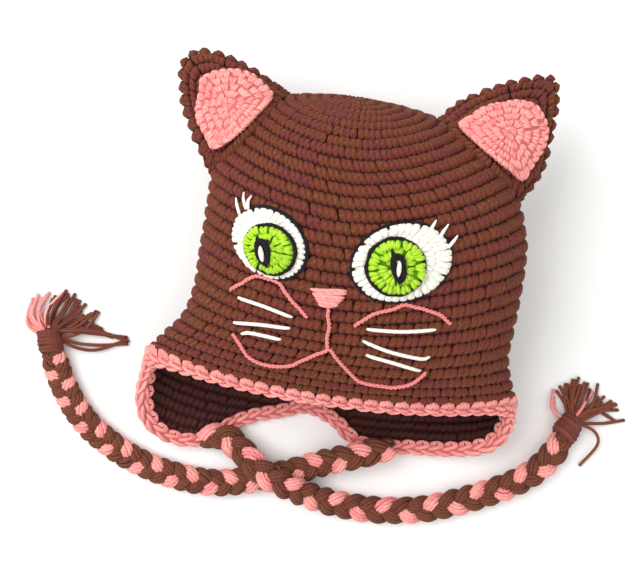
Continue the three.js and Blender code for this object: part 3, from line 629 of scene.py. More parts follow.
# Yarn as a tube along a line of points. The yarn UV holds millimetres along it and turns round it.
def addTube(parts, points, radius, sides=6, tint=0.5, slot=0, closed=False, up=(0, 0, 1)):
    points = np.asarray(points, float)
    count = len(points)
    radius = np.broadcast_to(np.asarray(radius, float), (count,))
    if closed:
        tangent = unit(np.roll(points, -1, axis=0) - np.roll(points, 1, axis=0))
    else:
        tangent = unit(np.gradient(points, axis=0))
    up = np.broadcast_to(np.asarray(up, float), (count, 3))
    side = unit(np.cross(tangent, up))
    rise = np.cross(side, tangent)
    angles = np.arange(sides) / sides * 2 * math.pi
    ring = side[:, None] * np.cos(angles)[None, :, None] + rise[:, None] * np.sin(angles)[None, :, None]
    body = points[:, None] + ring * radius[:, None, None]
    lengths = arcLengths(points) / mm
    index = np.arange(count * sides).reshape(count, sides)
    rows = np.arange(count if closed else count - 1)
    a = index[rows]
    d = index[(rows + 1) % count]
    faces = np.stack([a, np.roll(a, -1, axis=1), np.roll(d, -1, axis=1), d], axis=-1).reshape(-1, 4)
    lengthA = lengths[rows][:, None] * np.ones(sides)
    steps = np.linalg.norm(points[(rows + 1) % count] - points[rows], axis=1) / mm
    lengthD = (lengths[rows] + steps if closed else lengths[rows + 1])[:, None] * np.ones(sides)
    turnA = np.broadcast_to(np.arange(sides) / sides, lengthA.shape)
    turnB = turnA + 1 / sides
    uv = np.stack([np.stack([lengthA, turnA], -1), np.stack([lengthA, turnB], -1),
                   np.stack([lengthD, turnB], -1), np.stack([lengthD, turnA], -1)], axis=2).reshape(-1, 2)
    loops, totals = faces.reshape(-1), np.full(len(faces), 4)
    vertices = body.reshape(-1, 3)
    if not closed:
        poles = np.stack([points[0] - tangent[0] * radius[0] * 0.6,
                          points[-1] + tangent[-1] * radius[-1] * 0.6])
        first, last = len(vertices), len(vertices) + 1
        vertices = np.concatenate([vertices, poles])
        low, high = index[0], index[-1]
        capLow = np.stack([np.full(sides, first), np.roll(low, -1), low], -1)
        capHigh = np.stack([np.full(sides, last), high, np.roll(high, -1)], -1)
        caps = np.concatenate([capLow, capHigh])
        loops = np.concatenate([loops, caps.reshape(-1)])
        totals = np.concatenate([totals, np.full(len(caps), 3)])
        uv = np.concatenate([uv, np.zeros((caps.size, 2))])
    addCopies(parts, {"loops": loops, "totals": totals, "uv": uv}, vertices.reshape(1, -1, 3),
              np.array([tint]), slot)


# Earflaps: turn round the brim in degrees, then reach, swing and lift of the free edge in flap lengths
flapLength = 0.03
flaps = {
    "left": {"hand": 1, "gap": 0.0008, "rows": (
        (178, 0.12, 0.0, -0.03), (195, 0.62, -0.08, 0.06), (209, 0.86, -0.2, 0.14), (222, 0.99, -0.3, 0.1),
        (234, 1.02, -0.32, 0.06), (243, 0.86, -0.3, 0.04), (250, 0.55, -0.3, 0.02), (257, 0.27, -0.2, 0.0),
        (262, 0.12, 0.0, 0.0))},
    "right": {"hand": -1, "gap": 0.0008, "rows": (
        (2, 0.12, 0.0, -0.03), (-15, 0.4, 0.0, 0.08), (-29, 0.52, 0.06, 0.16), (-44, 0.54, 0.04, 0.12),
        (-56, 0.54, -0.08, 0.08), (-65, 0.53, -0.2, 0.06), (-73, 0.56, -0.26, 0.04),
        (-80.5, 0.48, -0.25, 0.02), (-86, 0.2, -0.08, 0.0))},
}


def brimAt(turn):
    point = shellAt(1, turn)
    return point, unit(point - shellAt(0.985, turn)), shellNormalAt(np.ones(np.shape(turn)), turn)


def flapAt(flap, share, part):
    share, part = np.broadcast_arrays(np.asarray(share, float), np.asarray(part, float))
    turn, reach, swing, lift = (smoothAt([row[k] for row in flap["rows"]], share) for k in range(4))
    point, outward, _ = brimAt(turn * degree)
    start = point + outward * flap["gap"]
    span = flapLength * np.stack([swing, -reach, lift], axis=-1)
    slope = outward * np.linalg.norm(span, axis=-1, keepdims=True)
    a, b, c, d = (x[..., None] for x in hermite(part))
    place = a * start + b * slope + c * (start + span) + d * span
    place[..., 2] = np.maximum(place[..., 2], 0)
    return place


def flapNormalAt(flap, share, part):
    share, part = np.broadcast_arrays(np.asarray(share, float), np.asarray(part, float))
    turn = smoothAt([row[0] for row in flap["rows"]], share) * degree
    brimNormal = shellNormalAt(np.ones(share.shape), turn)
    step = 0.02
    part = np.maximum(part, 0.02)
    around = flapAt(flap, np.minimum(share + step, 1), part) - flapAt(flap, np.maximum(share - step, 0), part)
    down = flapAt(flap, share, part) - flapAt(flap, share, np.maximum(part - step, 0))
    facing = unit(np.cross(around, down)) * flap["hand"]
    away = np.linalg.norm(flapAt(flap, share, part) - flapAt(flap, share, 0), axis=-1)
    blend = np.minimum(away / (2 * shell["wall"]), 1)[..., None]
    return unit(brimNormal * (1 - blend) + facing * blend)


flapKnit = {"rows": 6, "rowHeight": 0.0056, "pitch": 0.0068, "columns": 120, "fine": 5, "middle": 0.35,
            "rowFits": 0.35, "stitchHeight": 0.0021, "lift": -0.0022, "sheetOut": 0.0013, "sheetIn": 0.0033}
# Fabric under the edging where the right flap leaves the brim: its corners over the cloth, in millimetres
flapRoot = (((5, -74.5, 2.4), (11, -74, 2.4), (17, -73.5, 2.4)),
            ((7.5, -82, 2.4), (11.5, -82.5, 2.4), (15.5, -83, 2.4)))
for side, flap in flaps.items():
    dense = np.linspace(0, 1, 401)
    lengths = arcLengths(flapAt(flap, dense, flapKnit["middle"]))
    even = np.linspace(0, 1, flapKnit["columns"] + 1)
    shares = np.interp(even, lengths / lengths[-1], dense)
    span = np.linalg.norm(flapAt(flap, shares, 1) - flapAt(flap, shares, 0), axis=-1)
    distance = np.linspace(0, flapKnit["rows"] * flapKnit["rowHeight"],
                           flapKnit["rows"] * flapKnit["fine"] + 1)
    part = np.clip(distance[:, None] / np.maximum(span, 0.001)[None, :], 0, 1)
    place = flapAt(flap, shares[None, :], part)
    normal = flapNormalAt(flap, shares[None, :], part)
    count = int(round(lengths[-1] / flapKnit["pitch"]))
    outer = {"points": place, "normals": normal, "closed": False}
    inner = {"points": place - shell["wall"] * normal, "normals": -normal, "closed": False}
    parts = emptyParts()
    for row in range(flapKnit["rows"]):
        around = (np.arange(count) + 0.5 + 0.5 * (row % 2)) / count
        around = around[around < 1]
        reach = np.interp(around, even, span)
        around = around[(row + flapKnit["rowFits"]) * flapKnit["rowHeight"] < reach]
        if len(around) == 0:
            continue
        # The inner side takes the inside yarn, whose darker stops are painted shade
        for slot, field in enumerate((outer, inner)):
            layStitches(parts, field, plumpStitch, (row + 0.5) / flapKnit["rows"], around,
                        1 / flapKnit["rows"], 1 / count, flapKnit["stitchHeight"], flapKnit["lift"],
                        marledTints(len(around)), slot)
    # A sheet in the ground's painted shade lies between the flap's two sides
    sheet = np.concatenate([place - flapKnit["sheetOut"] * normal,
                            (place - flapKnit["sheetIn"] * normal)[::-1]])
    addGrid(parts, sheet[:, ::6], slot=2)
    # At the right flap's root the fabric takes the inside yarn's painted shade
    if side == "right":
        addGrid(parts, np.array(flapRoot) * mm - shift, slot=1)
    finishPiece(f"flap_{side}_stitches", parts, [brownYarn, insideShadedYarn, brownShadeGround], "brown_yarn",
                f"flap_{side}")
print("flaps stitched")


def joinEnds(rows):
    return np.concatenate([rows, rows[:1]])


# Pink edging: one closed band along the brim and round both flaps. Fans and rope run outward between
# the two distances from the brim, and stand out from the middle of the fabric by the rise.
edging = {"steps": 108, "width": 0.0068, "pitch": 0.0078, "rise": 0.0026, "fan": (-0.0038, 0.0026),
          "insideFan": (-0.0002, 0.0026), "rope": (0.0008, 0.0078), "ropeTurnIn": 0.0016,
          "fanHeight": 0.0019, "fanLift": -0.0006, "leafShare": 0.42, "leafHeight": 0.0015,
          "leafLift": -0.0008, "coreFrom": 0.0006, "coreWidth": 0.0066, "coreHeight": 0.0024}
# Section of the pink ground in the band: shares of its width and height
coreSection = ((0.0, 0.8), (0.4, 1.0), (0.85, 0.7), (1.0, 0.0), (0.85, -0.7), (0.4, -1.0), (0.0, -0.8),
               (0.0, 0.8))


def edgeFrames():
    places, normals = [], []

    def alongBrim(low, high, count):
        turn = np.linspace(low, high, count) * degree
        point, _, normal = brimAt(turn)
        places.append(point - normal * shell["wall"] / 2)
        normals.append(normal)

    def alongFlap(flap, low, high):
        share = np.linspace(low, high, 41)
        normal = flapNormalAt(flap, share, 1.0)
        places.append(flapAt(flap, share, 1.0) - normal * shell["wall"] / 2)
        normals.append(normal)

    alongBrim(8, 172, 80)
    alongFlap(flaps["left"], 0, 1)
    alongBrim(265, 269, 3)
    alongFlap(flaps["right"], 1, 0)
    place = np.concatenate(places)
    normal = np.concatenate(normals)
    loop, facing = joinEnds(place), joinEnds(normal)
    lengths = arcLengths(loop)
    even = np.arange(edging["steps"]) / edging["steps"] * lengths[-1]
    place = np.stack([np.interp(even, lengths, loop[:, k]) for k in range(3)], axis=1)
    normal = unit(np.stack([np.interp(even, lengths, facing[:, k]) for k in range(3)], axis=1))
    for _ in range(2):
        place = (place * 2 + np.roll(place, 1, axis=0) + np.roll(place, -1, axis=0)) / 4
        normal = unit(normal + np.roll(normal, 1, axis=0) + np.roll(normal, -1, axis=0))
    heading = unit(np.roll(place, -1, axis=0) - np.roll(place, 1, axis=0))
    outward = -unit(np.cross(heading, normal))
    return place, normal, outward, lengths[-1]


edgePlace, edgeNormal, edgeOutward, edgeLength = edgeFrames()


# A band of the edging as a field: it runs outward from low to high, out of the fabric by the rise
def edgeField(low, high, flip, turnIn=0.0):
    place, normal, outward = joinEnds(edgePlace), joinEnds(edgeNormal), joinEnds(edgeOutward)
    side = -1 if flip else 1
    rows = np.linspace(0, 1, 9)[:, None, None]
    lift = edging["rise"] - turnIn * rows ** 2
    points = place + outward * (low + (high - low) * rows) + normal * side * lift
    lean = outward * rows * (turnIn / edging["width"]) * 1.5
    normals = unit(np.broadcast_to(normal * side, points.shape) + lean)
    return {"points": points, "normals": normals, "closed": True}


# Fans of six plies that open over the brown edge, and long leaf-like loops that lie under them as a rope
fan = joinedTemplate([
    bentLeg(smallLeg, (side * a, b, -0.2), (side * c, d, e), (side * g, 0.56, -0.3), 0.74, 0.8, 6,
            size=(7.8, 6.4, 1.9), full=3.4)
    for side in (-1, 1)
    for a, b, c, d, e, g in ((0.13, -0.4, 0.53, -0.3, 1.3, 0.29), (0.05, -0.5, 0.36, -0.46, 2.1, 0.22),
                             (-0.04, -0.55, 0.13, -0.55, 2.5, 0.13))
])
ropeLeaf = bentLeg(leg, (-0.66, 0.42, -0.4), (0.0, 0.1, 1.9), (0.66, -0.5, -0.4), 1.15, 1.1, 9,
                   size=(7.8, 2.9, 1.5))
ropeLeafDown = bentLeg(leg, (-0.66, -0.5, -0.4), (0.0, 0.1, 1.9), (0.66, 0.42, -0.4), 1.15, 1.1, 9,
                       size=(7.8, 2.9, 1.5))
edgeCount = int(round(edgeLength / edging["pitch"]))
aroundEdge = (np.arange(edgeCount) + 0.5) / edgeCount
parts = emptyParts()
for flip in (False, True):
    # Only short loops show on the wrong side
    fans = edgeField(*edging["insideFan" if flip else "fan"], flip)
    tints = 0.5 + rng.normal(0, 0.12, edgeCount)
    layStitches(parts, fans, fan, 0.5, aroundEdge, 1, 1 / edgeCount, edging["fanHeight"], edging["fanLift"],
                tints, jitter=0.03)
    rope = edgeField(*edging["rope"], flip, edging["ropeTurnIn"])
    for leaf, place, phase in ((ropeLeaf, 0.36, 0.0), (ropeLeafDown, 0.8, 0.4)):
        layStitches(parts, rope, leaf, place, aroundEdge + phase / edgeCount, edging["leafShare"],
                    1 / edgeCount, edging["leafHeight"], edging["leafLift"],
                    0.5 + rng.normal(0, 0.12, edgeCount), jitter=0.04)
# The pink ground in the band, in painted shade
core = np.stack([edgePlace + edgeOutward * (edging["coreFrom"] + edging["coreWidth"] * wide)
                 + edgeNormal * thick * edging["coreHeight"] for wide, thick in coreSection])
addGrid(parts, core, slot=1, closed=True)
finishPiece("edging_stitches", parts, [pinkYarn, pinkShadeGround], "pink_yarn", "edging")
print("edging stitched")


# Ears, as in the CAD. Seat and rise are shares of the shell's sizes. A row of the outline is a share of the
# way up and the half widths towards crown and brim, and the patch's points are across and up. The points
# draw two of the patch's corners out: a direction in degrees and how far.
ears = {
    "left": {
        "seatX": -0.395, "seatY": 0.82, "heading": 144.5, "side": -1, "size": 1.0, "rise": 0.5, "arch": 0.25,
        "outline": ((-0.2, 0.98, 0.98), (0.0, 1.0, 0.99), (0.23, 0.95, 0.84), (0.43, 0.88, 0.69),
                    (0.58, 0.82, 0.56), (0.72, 0.73, 0.4), (0.86, 0.61, 0.19), (0.96, 0.44, 0.0)),
        "tip": (-0.22, 1.0),
        "patch": ((-0.14, 0.69), (0.08, 0.62), (0.39, 0.5), (0.52, 0.38), (0.62, 0.15), (0.45, 0.07),
                  (0.1, 0.03), (-0.33, 0.03), (-0.7, 0.07), (-0.78, 0.2), (-0.75, 0.4), (-0.51, 0.58)),
        "points": ((-148, 0.0006), (-21, 0.0010))},
    "right": {
        "seatX": 0.305, "seatY": 0.843, "heading": 54.1, "side": 1, "size": 1.08, "rise": 0.52, "arch": 0.2,
        "outline": ((-0.2, 0.97, 0.98), (0.0, 0.98, 1.0), (0.25, 0.93, 0.97), (0.42, 0.81, 0.85),
                    (0.57, 0.69, 0.68), (0.73, 0.52, 0.48), (0.85, 0.37, 0.33), (0.95, 0.22, 0.18)),
        "tip": (-0.02, 1.03),
        "patch": ((-0.2, 0.61), (0.07, 0.68), (0.39, 0.63), (0.58, 0.53), (0.68, 0.37), (0.73, 0.13),
                  (0.47, 0.08), (0.13, 0.05), (-0.23, 0.04), (-0.58, 0.06), (-0.62, 0.16), (-0.56, 0.34),
                  (-0.38, 0.49)),
        "points": ((-150, 0.0016), (-26, 0.0012))},
}
earSize = {"height": 0.052, "base": 0.058, "thickness": 0.0085, "rounds": 11, "columns": 240,
           "lift": -0.0022, "groundDepth": 0.0015, "centre": 0.4}
patchSize = {"gap": 0.0009, "thickness": 0.0028, "round": 0.0040, "pitch": 0.0042, "stitchHeight": 0.0014,
             "lift": -0.0012, "linkPitch": 0.0044, "linkPlace": 0.96, "linkShare": 0.16, "linkLift": -0.0008,
             "groundDepth": 0.0002, "rows": 30, "cornerWidth": 7, "hem": 0.0016}


# Stitches at even distances round a ring of points: the place and width of each, in shares of the ring
def evenPlaces(ring, pitch, phase):
    arc = arcLengths(ring)
    count = max(int(round(arc[-1] / pitch)), 6)
    arc = arc / arc[-1]
    arc = np.concatenate([arc[:-1] - 1, arc, arc[1:] + 1])
    share = np.linspace(-1, 2, len(arc))
    middle = (np.arange(count) + phase) / count
    low, high = (np.interp(middle + half / count, arc, share) for half in (-0.5, 0.5))
    return (low + high) / 2 % 1, high - low


def earPlace(ear, across, up):
    half = earSize["base"] * math.sqrt(ear["size"]) / 2
    heading = ear["heading"] * degree
    outward = (math.cos(heading), math.sin(heading))
    sideways = (ear["side"] * outward[1], -ear["side"] * outward[0])
    bow = np.maximum(1 - (across / half) ** 2, 0) \
        * (1 - 0.85 * np.maximum(up / (earSize["height"] * ear["size"]), 0))
    return np.stack([
        shell["width"] * ear["seatX"] + outward[0] * up + sideways[0] * across,
        shell["brimPlace"] + shell["depth"] * ear["seatY"] + outward[1] * up + sideways[1] * across,
        shell["height"] * (ear["rise"] + ear["arch"] * bow),
    ], axis=-1)


def closedOutline(corners):
    return smoothLine(np.column_stack([corners, np.zeros(len(corners))]), 0.0002, closed=True)[:, :2]


# Distance from the centre to the outline in each direction
def reachAt(outline, centre, angle):
    offset = outline - centre
    angles = np.arctan2(offset[:, 1], offset[:, 0])
    order = np.argsort(angles)
    return np.interp(angle, angles[order], np.linalg.norm(offset, axis=1)[order], period=2 * math.pi)


shellRings = hatField["points"][::2, ::5]
ringRows, ringColumns = shellRings.shape[:2]
ringFaces = [(r * ringColumns + c, r * ringColumns + c + 1, (r + 1) * ringColumns + c + 1,
              (r + 1) * ringColumns + c) for r in range(ringRows - 1) for c in range(ringColumns - 1)]
shellTree = BVHTree.FromPolygons([tuple(p) for p in shellRings.reshape(-1, 3)], ringFaces)


# How far each point lies outside the shell, less than 0 being inside
def outsideShell(points):
    distances = np.empty(len(points))
    for k, point in enumerate(points):
        place, normal, _, distance = shellTree.find_nearest(Vector(point))
        middle = Vector((shell["width"] * -0.02, float(place[1]), shell["height"] * 0.48))
        outward = normal if normal.dot(place - middle) > 0 else -normal
        distances[k] = distance if (Vector(point) - place).dot(outward) > 0 else -distance
    return distances


# Outline, centre and directions of an ear, flat
def earShape(ear):
    half = earSize["base"] * math.sqrt(ear["size"]) / 2
    height = earSize["height"] * ear["size"]
    corners = [(-crown * half, up * height) for up, crown, _ in ear["outline"]]
    corners.append((ear["tip"][0] * half, ear["tip"][1] * height))
    corners += [(side * half, up * height) for up, _, side in reversed(ear["outline"])]
    angle = np.linspace(-math.pi / 2, 1.5 * math.pi, earSize["columns"] + 1)
    return {"outline": closedOutline(corners), "centre": np.array([0, earSize["centre"] * height]),
            "angle": angle[::-1] if ear["side"] > 0 else angle,
            "patch": np.array([(across * half, up * height) for across, up in ear["patch"]])}


# Flat points at shares of the reach in each direction
def atReach(middle, share, reach, angle):
    direction = np.stack([np.cos(angle), np.sin(angle)], axis=-1)
    return middle + share[:, None, None] * reach[None, :, None] * direction[None]


# Takes the normals of the poles from the rounds beside them, and turns the field's start to the face side
def faceUp(field, poles):
    for row, beside in poles:
        field["normals"][row] = unit(field["normals"][beside].mean(0))
    if field["normals"][3].mean(0)[2] < 0:
        field["normals"] = -field["normals"]
    return field


# The cushion of an ear, from the middle of its face round the rim to the middle of its back
def cushionField(ear, shape):
    reach = reachAt(shape["outline"], shape["centre"], shape["angle"])
    turn = np.linspace(0, math.pi, 401)
    share = np.sin(turn)
    puff = np.sign(np.cos(turn)) * np.sqrt(np.maximum(1 - share ** 4, 0)) * earSize["thickness"] / 2
    lengths = np.concatenate([[0], np.cumsum(np.hypot(np.diff(share) * reach.mean(), np.diff(puff)))])
    even = np.linspace(0, lengths[-1], earSize["rounds"] * 5 + 1)
    share, puff = np.interp(even, lengths, share), np.interp(even, lengths, puff)
    flat = atReach(shape["centre"], share, reach, shape["angle"])
    points = earPlace(ear, flat[..., 0], flat[..., 1])
    points[..., 2] += puff[:, None]
    return faceUp(makeField(points), ((0, 2), (-1, -3)))


# The pink patch lies on the cushion, with two corners drawn out by the ear's points
def patchField(ear, shape):
    middle, angle = shape["patch"].mean(0), shape["angle"]
    reach = reachAt(closedOutline(shape["patch"]), middle, angle)
    for corner, further in ear["points"]:
        away = (np.degrees(angle) - corner + 180) % 360 - 180
        reach += further * np.exp(-(away / patchSize["cornerWidth"]) ** 2)
    flat = atReach(middle, np.linspace(0, 1, patchSize["rows"] + 1), reach, angle)
    offset = flat - shape["centre"]
    heading = np.arctan2(offset[..., 1], offset[..., 0])
    earReach = reachAt(shape["outline"], shape["centre"], heading.ravel()).reshape(heading.shape)
    share = np.minimum(np.linalg.norm(offset, axis=-1) / earReach, 1)
    points = earPlace(ear, flat[..., 0], flat[..., 1])
    points[..., 2] += earSize["thickness"] / 2 * np.sqrt(1 - share ** 4) + patchSize["gap"] \
        + patchSize["thickness"] * 0.5
    return faceUp(makeField(points), ((0, 2),)), reach.mean()


# The ring of a field's points that lies nearest to a share of the way down it
def ringAt(field, down):
    return field["points"][int(round(down * (len(field["points"]) - 1)))]


patchStitch = joinedTemplate([
    bentLeg(leg, (side * 0.12, -0.58, -0.2), (side * 0.24, -0.12, 2.2), (side * 0.28, 0.56, -0.4),
            1.12, 0.9, 5, size=(4.1, 3.9, 1.4), full=3.0) for side in (-1, 1)
])
# A plump loop over the ear's rim, and a long one in the chain round the patch
rimLump = bentLeg(leg, (-0.34, -0.34, -0.2), (0.0, -0.02, 1.0), (0.34, 0.34, -0.2), 2.6, 2.4, 7,
                  size=(6.6, 5.3, 2.7), full=3.0)
rimLink = bentLeg(leg, (-0.62, 0.4, -0.4), (0.0, 0.1, 1.9), (0.62, -0.5, -0.4), 0.95, 0.9, 6,
                  size=(4.4, 2.6, 1.4))
earStitch = {"shape": plumpStitch, "pitch": 0.0062, "height": 0.0022}
rimStitch = {"shape": rimLump, "pitch": 0.0070, "height": 0.0025}
for name, ear in ears.items():
    shape = earShape(ear)
    field = cushionField(ear, shape)
    parts = emptyParts()
    for k in range(earSize["rounds"]):
        down = (k + 0.5) / earSize["rounds"]
        onRim = k == earSize["rounds"] // 2
        stitch = rimStitch if onRim else earStitch
        place, width = evenPlaces(ringAt(field, down), stitch["pitch"], 0.5 * (k % 2))
        # Where the ear is inside the hat it needs no stitches
        free = outsideShell(onField(field, np.full(len(place), down), place, np.zeros(len(place)))) > -0.001
        place, width = place[free], width[free]
        if len(place) == 0:
            continue
        layStitches(parts, field, stitch["shape"], down, place, 1 / earSize["rounds"], width,
                    stitch["height"], earSize["lift"], marledTints(len(place)))
    # Ground of painted shade under the ear's stitches
    addGrid(parts, (field["points"] - earSize["groundDepth"] * field["normals"])[::5, ::6], slot=1)
    finishPiece(f"ear_{name}_stitches", parts, [brownYarn, brownShadeGround], "brown_yarn", f"ear_{name}")

    field, patchReach = patchField(ear, shape)
    rounds = int(round(patchReach / patchSize["round"]))
    parts = emptyParts()
    for k in range(rounds):
        down = (k + 0.5) / rounds
        place, width = evenPlaces(ringAt(field, down), patchSize["pitch"], 0.42 * k)
        layStitches(parts, field, patchStitch, down, place, 1 / rounds, width, patchSize["stitchHeight"],
                    patchSize["lift"], 0.5 + rng.normal(0, 0.16, len(place)), jitter=0.1)
    # A chain of long loops lies round the rim
    count = int(round(arcLengths(field["points"][-1])[-1] / patchSize["linkPitch"]))
    layStitches(parts, field, rimLink, patchSize["linkPlace"], np.arange(count) / count,
                patchSize["linkShare"], 1 / count, patchSize["stitchHeight"], patchSize["linkLift"],
                0.55 + rng.normal(0, 0.14, count), jitter=0.08)
    # Ground of painted shade under the patch's stitches, with a hem
    rim = field["points"] - patchSize["groundDepth"] * field["normals"]
    addGrid(parts, np.concatenate([rim[::3, ::6], rim[-1:, ::6] - [0, 0, patchSize["hem"]]]), slot=1)
    finishPiece(f"inner_ear_{name}_stitches", parts, [pinkYarn, pinkShadeGround], "pink_yarn", f"inner_ear_{name}")
print("ears stitched")


# Face: x as a share of the shell's width, along as a share of its depth from the brim, turn in degrees
eyes = {
    "left": {"white": (-0.282, 0.44, -33, 0.91, 0.77), "iris": (-0.275, 0.421, -33, 0.97, 0.85)},
    "right": {"white": (0.101, 0.438, 23, 1.12, 0.75), "iris": (0.087, 0.422, 10, 1.04, 0.96)},
}
eyeSize = {"white": 0.043, "iris": 0.0255, "inset": 0.0004, "whiteLift": 0.0012, "irisLift": 0.0034,
           "whiteRise": 0.0008, "hem": 0.0012, "whiteHeight": 0.0014, "irisHeight": 0.0020}
# Rounds of stitches from the middle out: the shares between which each lies, and how many stitches it has
whiteRounds = ((0.40, 0.72, 13), (0.68, 1.05, 19))
irisRounds = ((0.02, 0.4, 5), (0.34, 0.7, 11), (0.66, 1.0, 16))


def ovalPoints(kind, oval, grow, angle):
    x, along, turn, size, slim = oval
    half = eyeSize[kind] * size / 2
    long, short = (half + grow) * np.cos(angle), (half * slim + grow) * np.sin(angle)
    cos, sin = math.cos(turn * degree), math.sin(turn * degree)
    return np.stack([shell["width"] * x + long * cos - short * sin,
                     shell["brimPlace"] + shell["depth"] * along + long * sin + short * cos], axis=-1)


# A disc on the face, from its middle to its outline
discRows = 24


def discField(outline, height):
    middle = outline[:-1].mean(0)
    flat = middle + np.linspace(0, 1, discRows + 1)[:, None, None] * (outline - middle)[None]
    place, normal = faceAt(flat[..., 0], flat[..., 1])
    return {"points": place + normal * height, "normals": normal, "closed": True}


# The ground under a disc's stitches: rings that rise a little, then a hem that goes into the fabric. Its
# colour is darker than the yarn, as painted shade
def addDiscGround(parts, field, lastRow, hemRow, rise):
    points, normals = field["points"][:, ::3], field["normals"][:, ::3]
    rings, hem = slice(0, lastRow + 1, 4), slice(hemRow, hemRow + 1)
    addGrid(parts, np.concatenate([points[rings] + normals[rings] * rise,
                                   points[hem] - normals[hem] * eyeSize["hem"]]), slot=1)


def layRounds(parts, field, template, rounds, outSize, jitter):
    for k, (low, high, count) in enumerate(rounds):
        layStitches(parts, field, template, (low + high) / 2, (np.arange(count) + 0.5 * (k % 2)) / count,
                    high - low, 1 / count, outSize, 0.0, 0.5 + rng.normal(0, 0.12, count), jitter=jitter)


# Pupils: the loop's middle line, its loose ends and the stitch of light in it. The points are the photo's
# pixels, moved aside by a few, since the far parts of the face are laid a little too far out.
pupils = {
    "left": {
        "ring": ((263.2, 242), (268.8, 242.5), (271.9, 248.5), (272.2, 256.5), (271, 262.5), (267.4, 260.5),
                 (263.6, 255.5), (262.4, 248.5)),
        "ends": (((263.4, 243), (262.6, 240.5), (262.2, 237.5)), ((270.4, 244), (271.6, 242), (272.4, 240)),
                 ((269.6, 261.5), (270.6, 264), (271.6, 266))),
        "glint": ((266, 245.5), (267, 253.5), (268.4, 261)), "glintHalf": 0.00135},
    "right": {
        "ring": ((393.5, 256.6), (399.5, 256.4), (402.1, 265), (401.9, 274.5), (398.9, 279), (395.5, 274.5),
                 (392.3, 265)),
        "ends": (((393.1, 257), (391.9, 253), (391.3, 249.5)),
                 ((398.7, 278), (398.5, 280.5), (398.3, 282.2))),
        "glint": ((398.3, 259.5), (397.9, 267), (397, 275)), "glintHalf": 0.00115},
}
pupilSize = {"lift": 0.0068, "fillLift": 0.0064, "glintLift": 0.0079, "radius": 0.00145, "endRadius": 0.0012,
             "step": 0.0008, "glintStep": 0.0006}
whiteStitch = joinedTemplate([
    bentLeg(leg, (side * 0.2, -0.55, 0.2), (side * 0.25, 0.0, 0.9), (side * 0.26, 0.47, 0.0), 1.75, 0.9, 6,
            size=(6.0, 7.0, 1.3), full=3) for side in (-1, 1)
])
turned = np.linspace(2 * math.pi, 0, 121)
for name, eye in eyes.items():
    white = discField(ovalPoints("white", eye["white"], -eyeSize["inset"], turned), eyeSize["whiteLift"])
    parts = emptyParts()
    layRounds(parts, white, whiteStitch, whiteRounds, eyeSize["whiteHeight"], 0.07)
    addDiscGround(parts, white, discRows - 4, discRows - 1, eyeSize["whiteRise"])
    finishPiece(f"eye_white_{name}_stitches", parts, [creamYarn, creamShadeGround], "cream_yarn",
                f"eye_white_{name}")

    iris = discField(ovalPoints("iris", eye["iris"], 0.0, turned), eyeSize["irisLift"])
    parts = emptyParts()
    layRounds(parts, iris, patchStitch, irisRounds, eyeSize["irisHeight"], 0.13)
    addDiscGround(parts, iris, discRows, discRows, 0.0)
    finishPiece(f"iris_{name}_stitches", parts, [greenYarn, greenShadeGround], "green_yarn", f"iris_{name}")

    pupil = pupils[name]
    parts = emptyParts()
    place, normal = fromPhoto(pupil["ring"], pupilSize["lift"])
    ring = smoothLine(place, pupilSize["step"], closed=True)
    addTube(parts, ring, pupilSize["radius"], sides=8, closed=True, up=unit(normal.mean(0)))
    foot = smoothLine(place - normal * pupilSize["lift"], pupilSize["step"], closed=True)
    for pixels in pupil["ends"]:
        line = smoothLine(fromPhoto(pixels, pupilSize["lift"])[0], pupilSize["step"])
        addTube(parts, line, pupilSize["endRadius"] * np.linspace(1, 0.5, len(line)), sides=7, tint=0.4)
    # Black fills the loop
    addGrid(parts, discField(joinEnds(foot)[:, :2], pupilSize["fillLift"])["points"][::4])
    finishPiece(f"pupil_{name}_loop", parts, [blackYarn], "black_yarn", f"pupil_{name}")

    parts = emptyParts()
    place, normal = fromPhoto(pupil["glint"], pupilSize["glintLift"])
    line = smoothLine(place, pupilSize["glintStep"])
    share = np.linspace(-1, 1, len(line))
    addTube(parts, line, pupil["glintHalf"] * np.maximum(1 - share ** 2, 0.02) ** 0.6, sides=8,
            up=unit(normal.mean(0)))
    finishPiece(f"glint_{name}_stitch", parts, [creamYarn], "cream_yarn", f"glint_{name}")
print("eyes stitched")


# Black strands round the whites and irises. Each sits a little to one side, so that it shows most there
outlines = {
    "white": {"lift": 0.0008, "radius": 0.0010, "grow": -0.0002, "left": (0.0006, 0.0003),
              "right": (-0.0003, 0.0)},
    "iris": {"lift": 0.0036, "radius": 0.0009, "grow": 0.0, "left": (0.0009, 0.0002),
             "right": (-0.0007, 0.0002)},
}
for side, eye in eyes.items():
    parts = emptyParts()
    for kind, strand in outlines.items():
        ring = ovalPoints(kind, eye[kind], strand["grow"], turned[:-1]) + strand[side]
        place, normal = faceAt(ring[:, 0], ring[:, 1])
        wobble = np.convolve(np.tile(rng.normal(0, 0.0003, len(ring)), 3), np.ones(5) / 5, "same")[:len(ring)]
        outwards = unit(place - place.mean(0))
        addTube(parts, place + normal * strand["lift"] + outwards * wobble[:, None],
                strand["radius"] * (1 + wobble * 500), sides=7, closed=True, up=normal)
    finishPiece(f"eye_outline_{side}", parts, [blackYarn], "black_yarn")

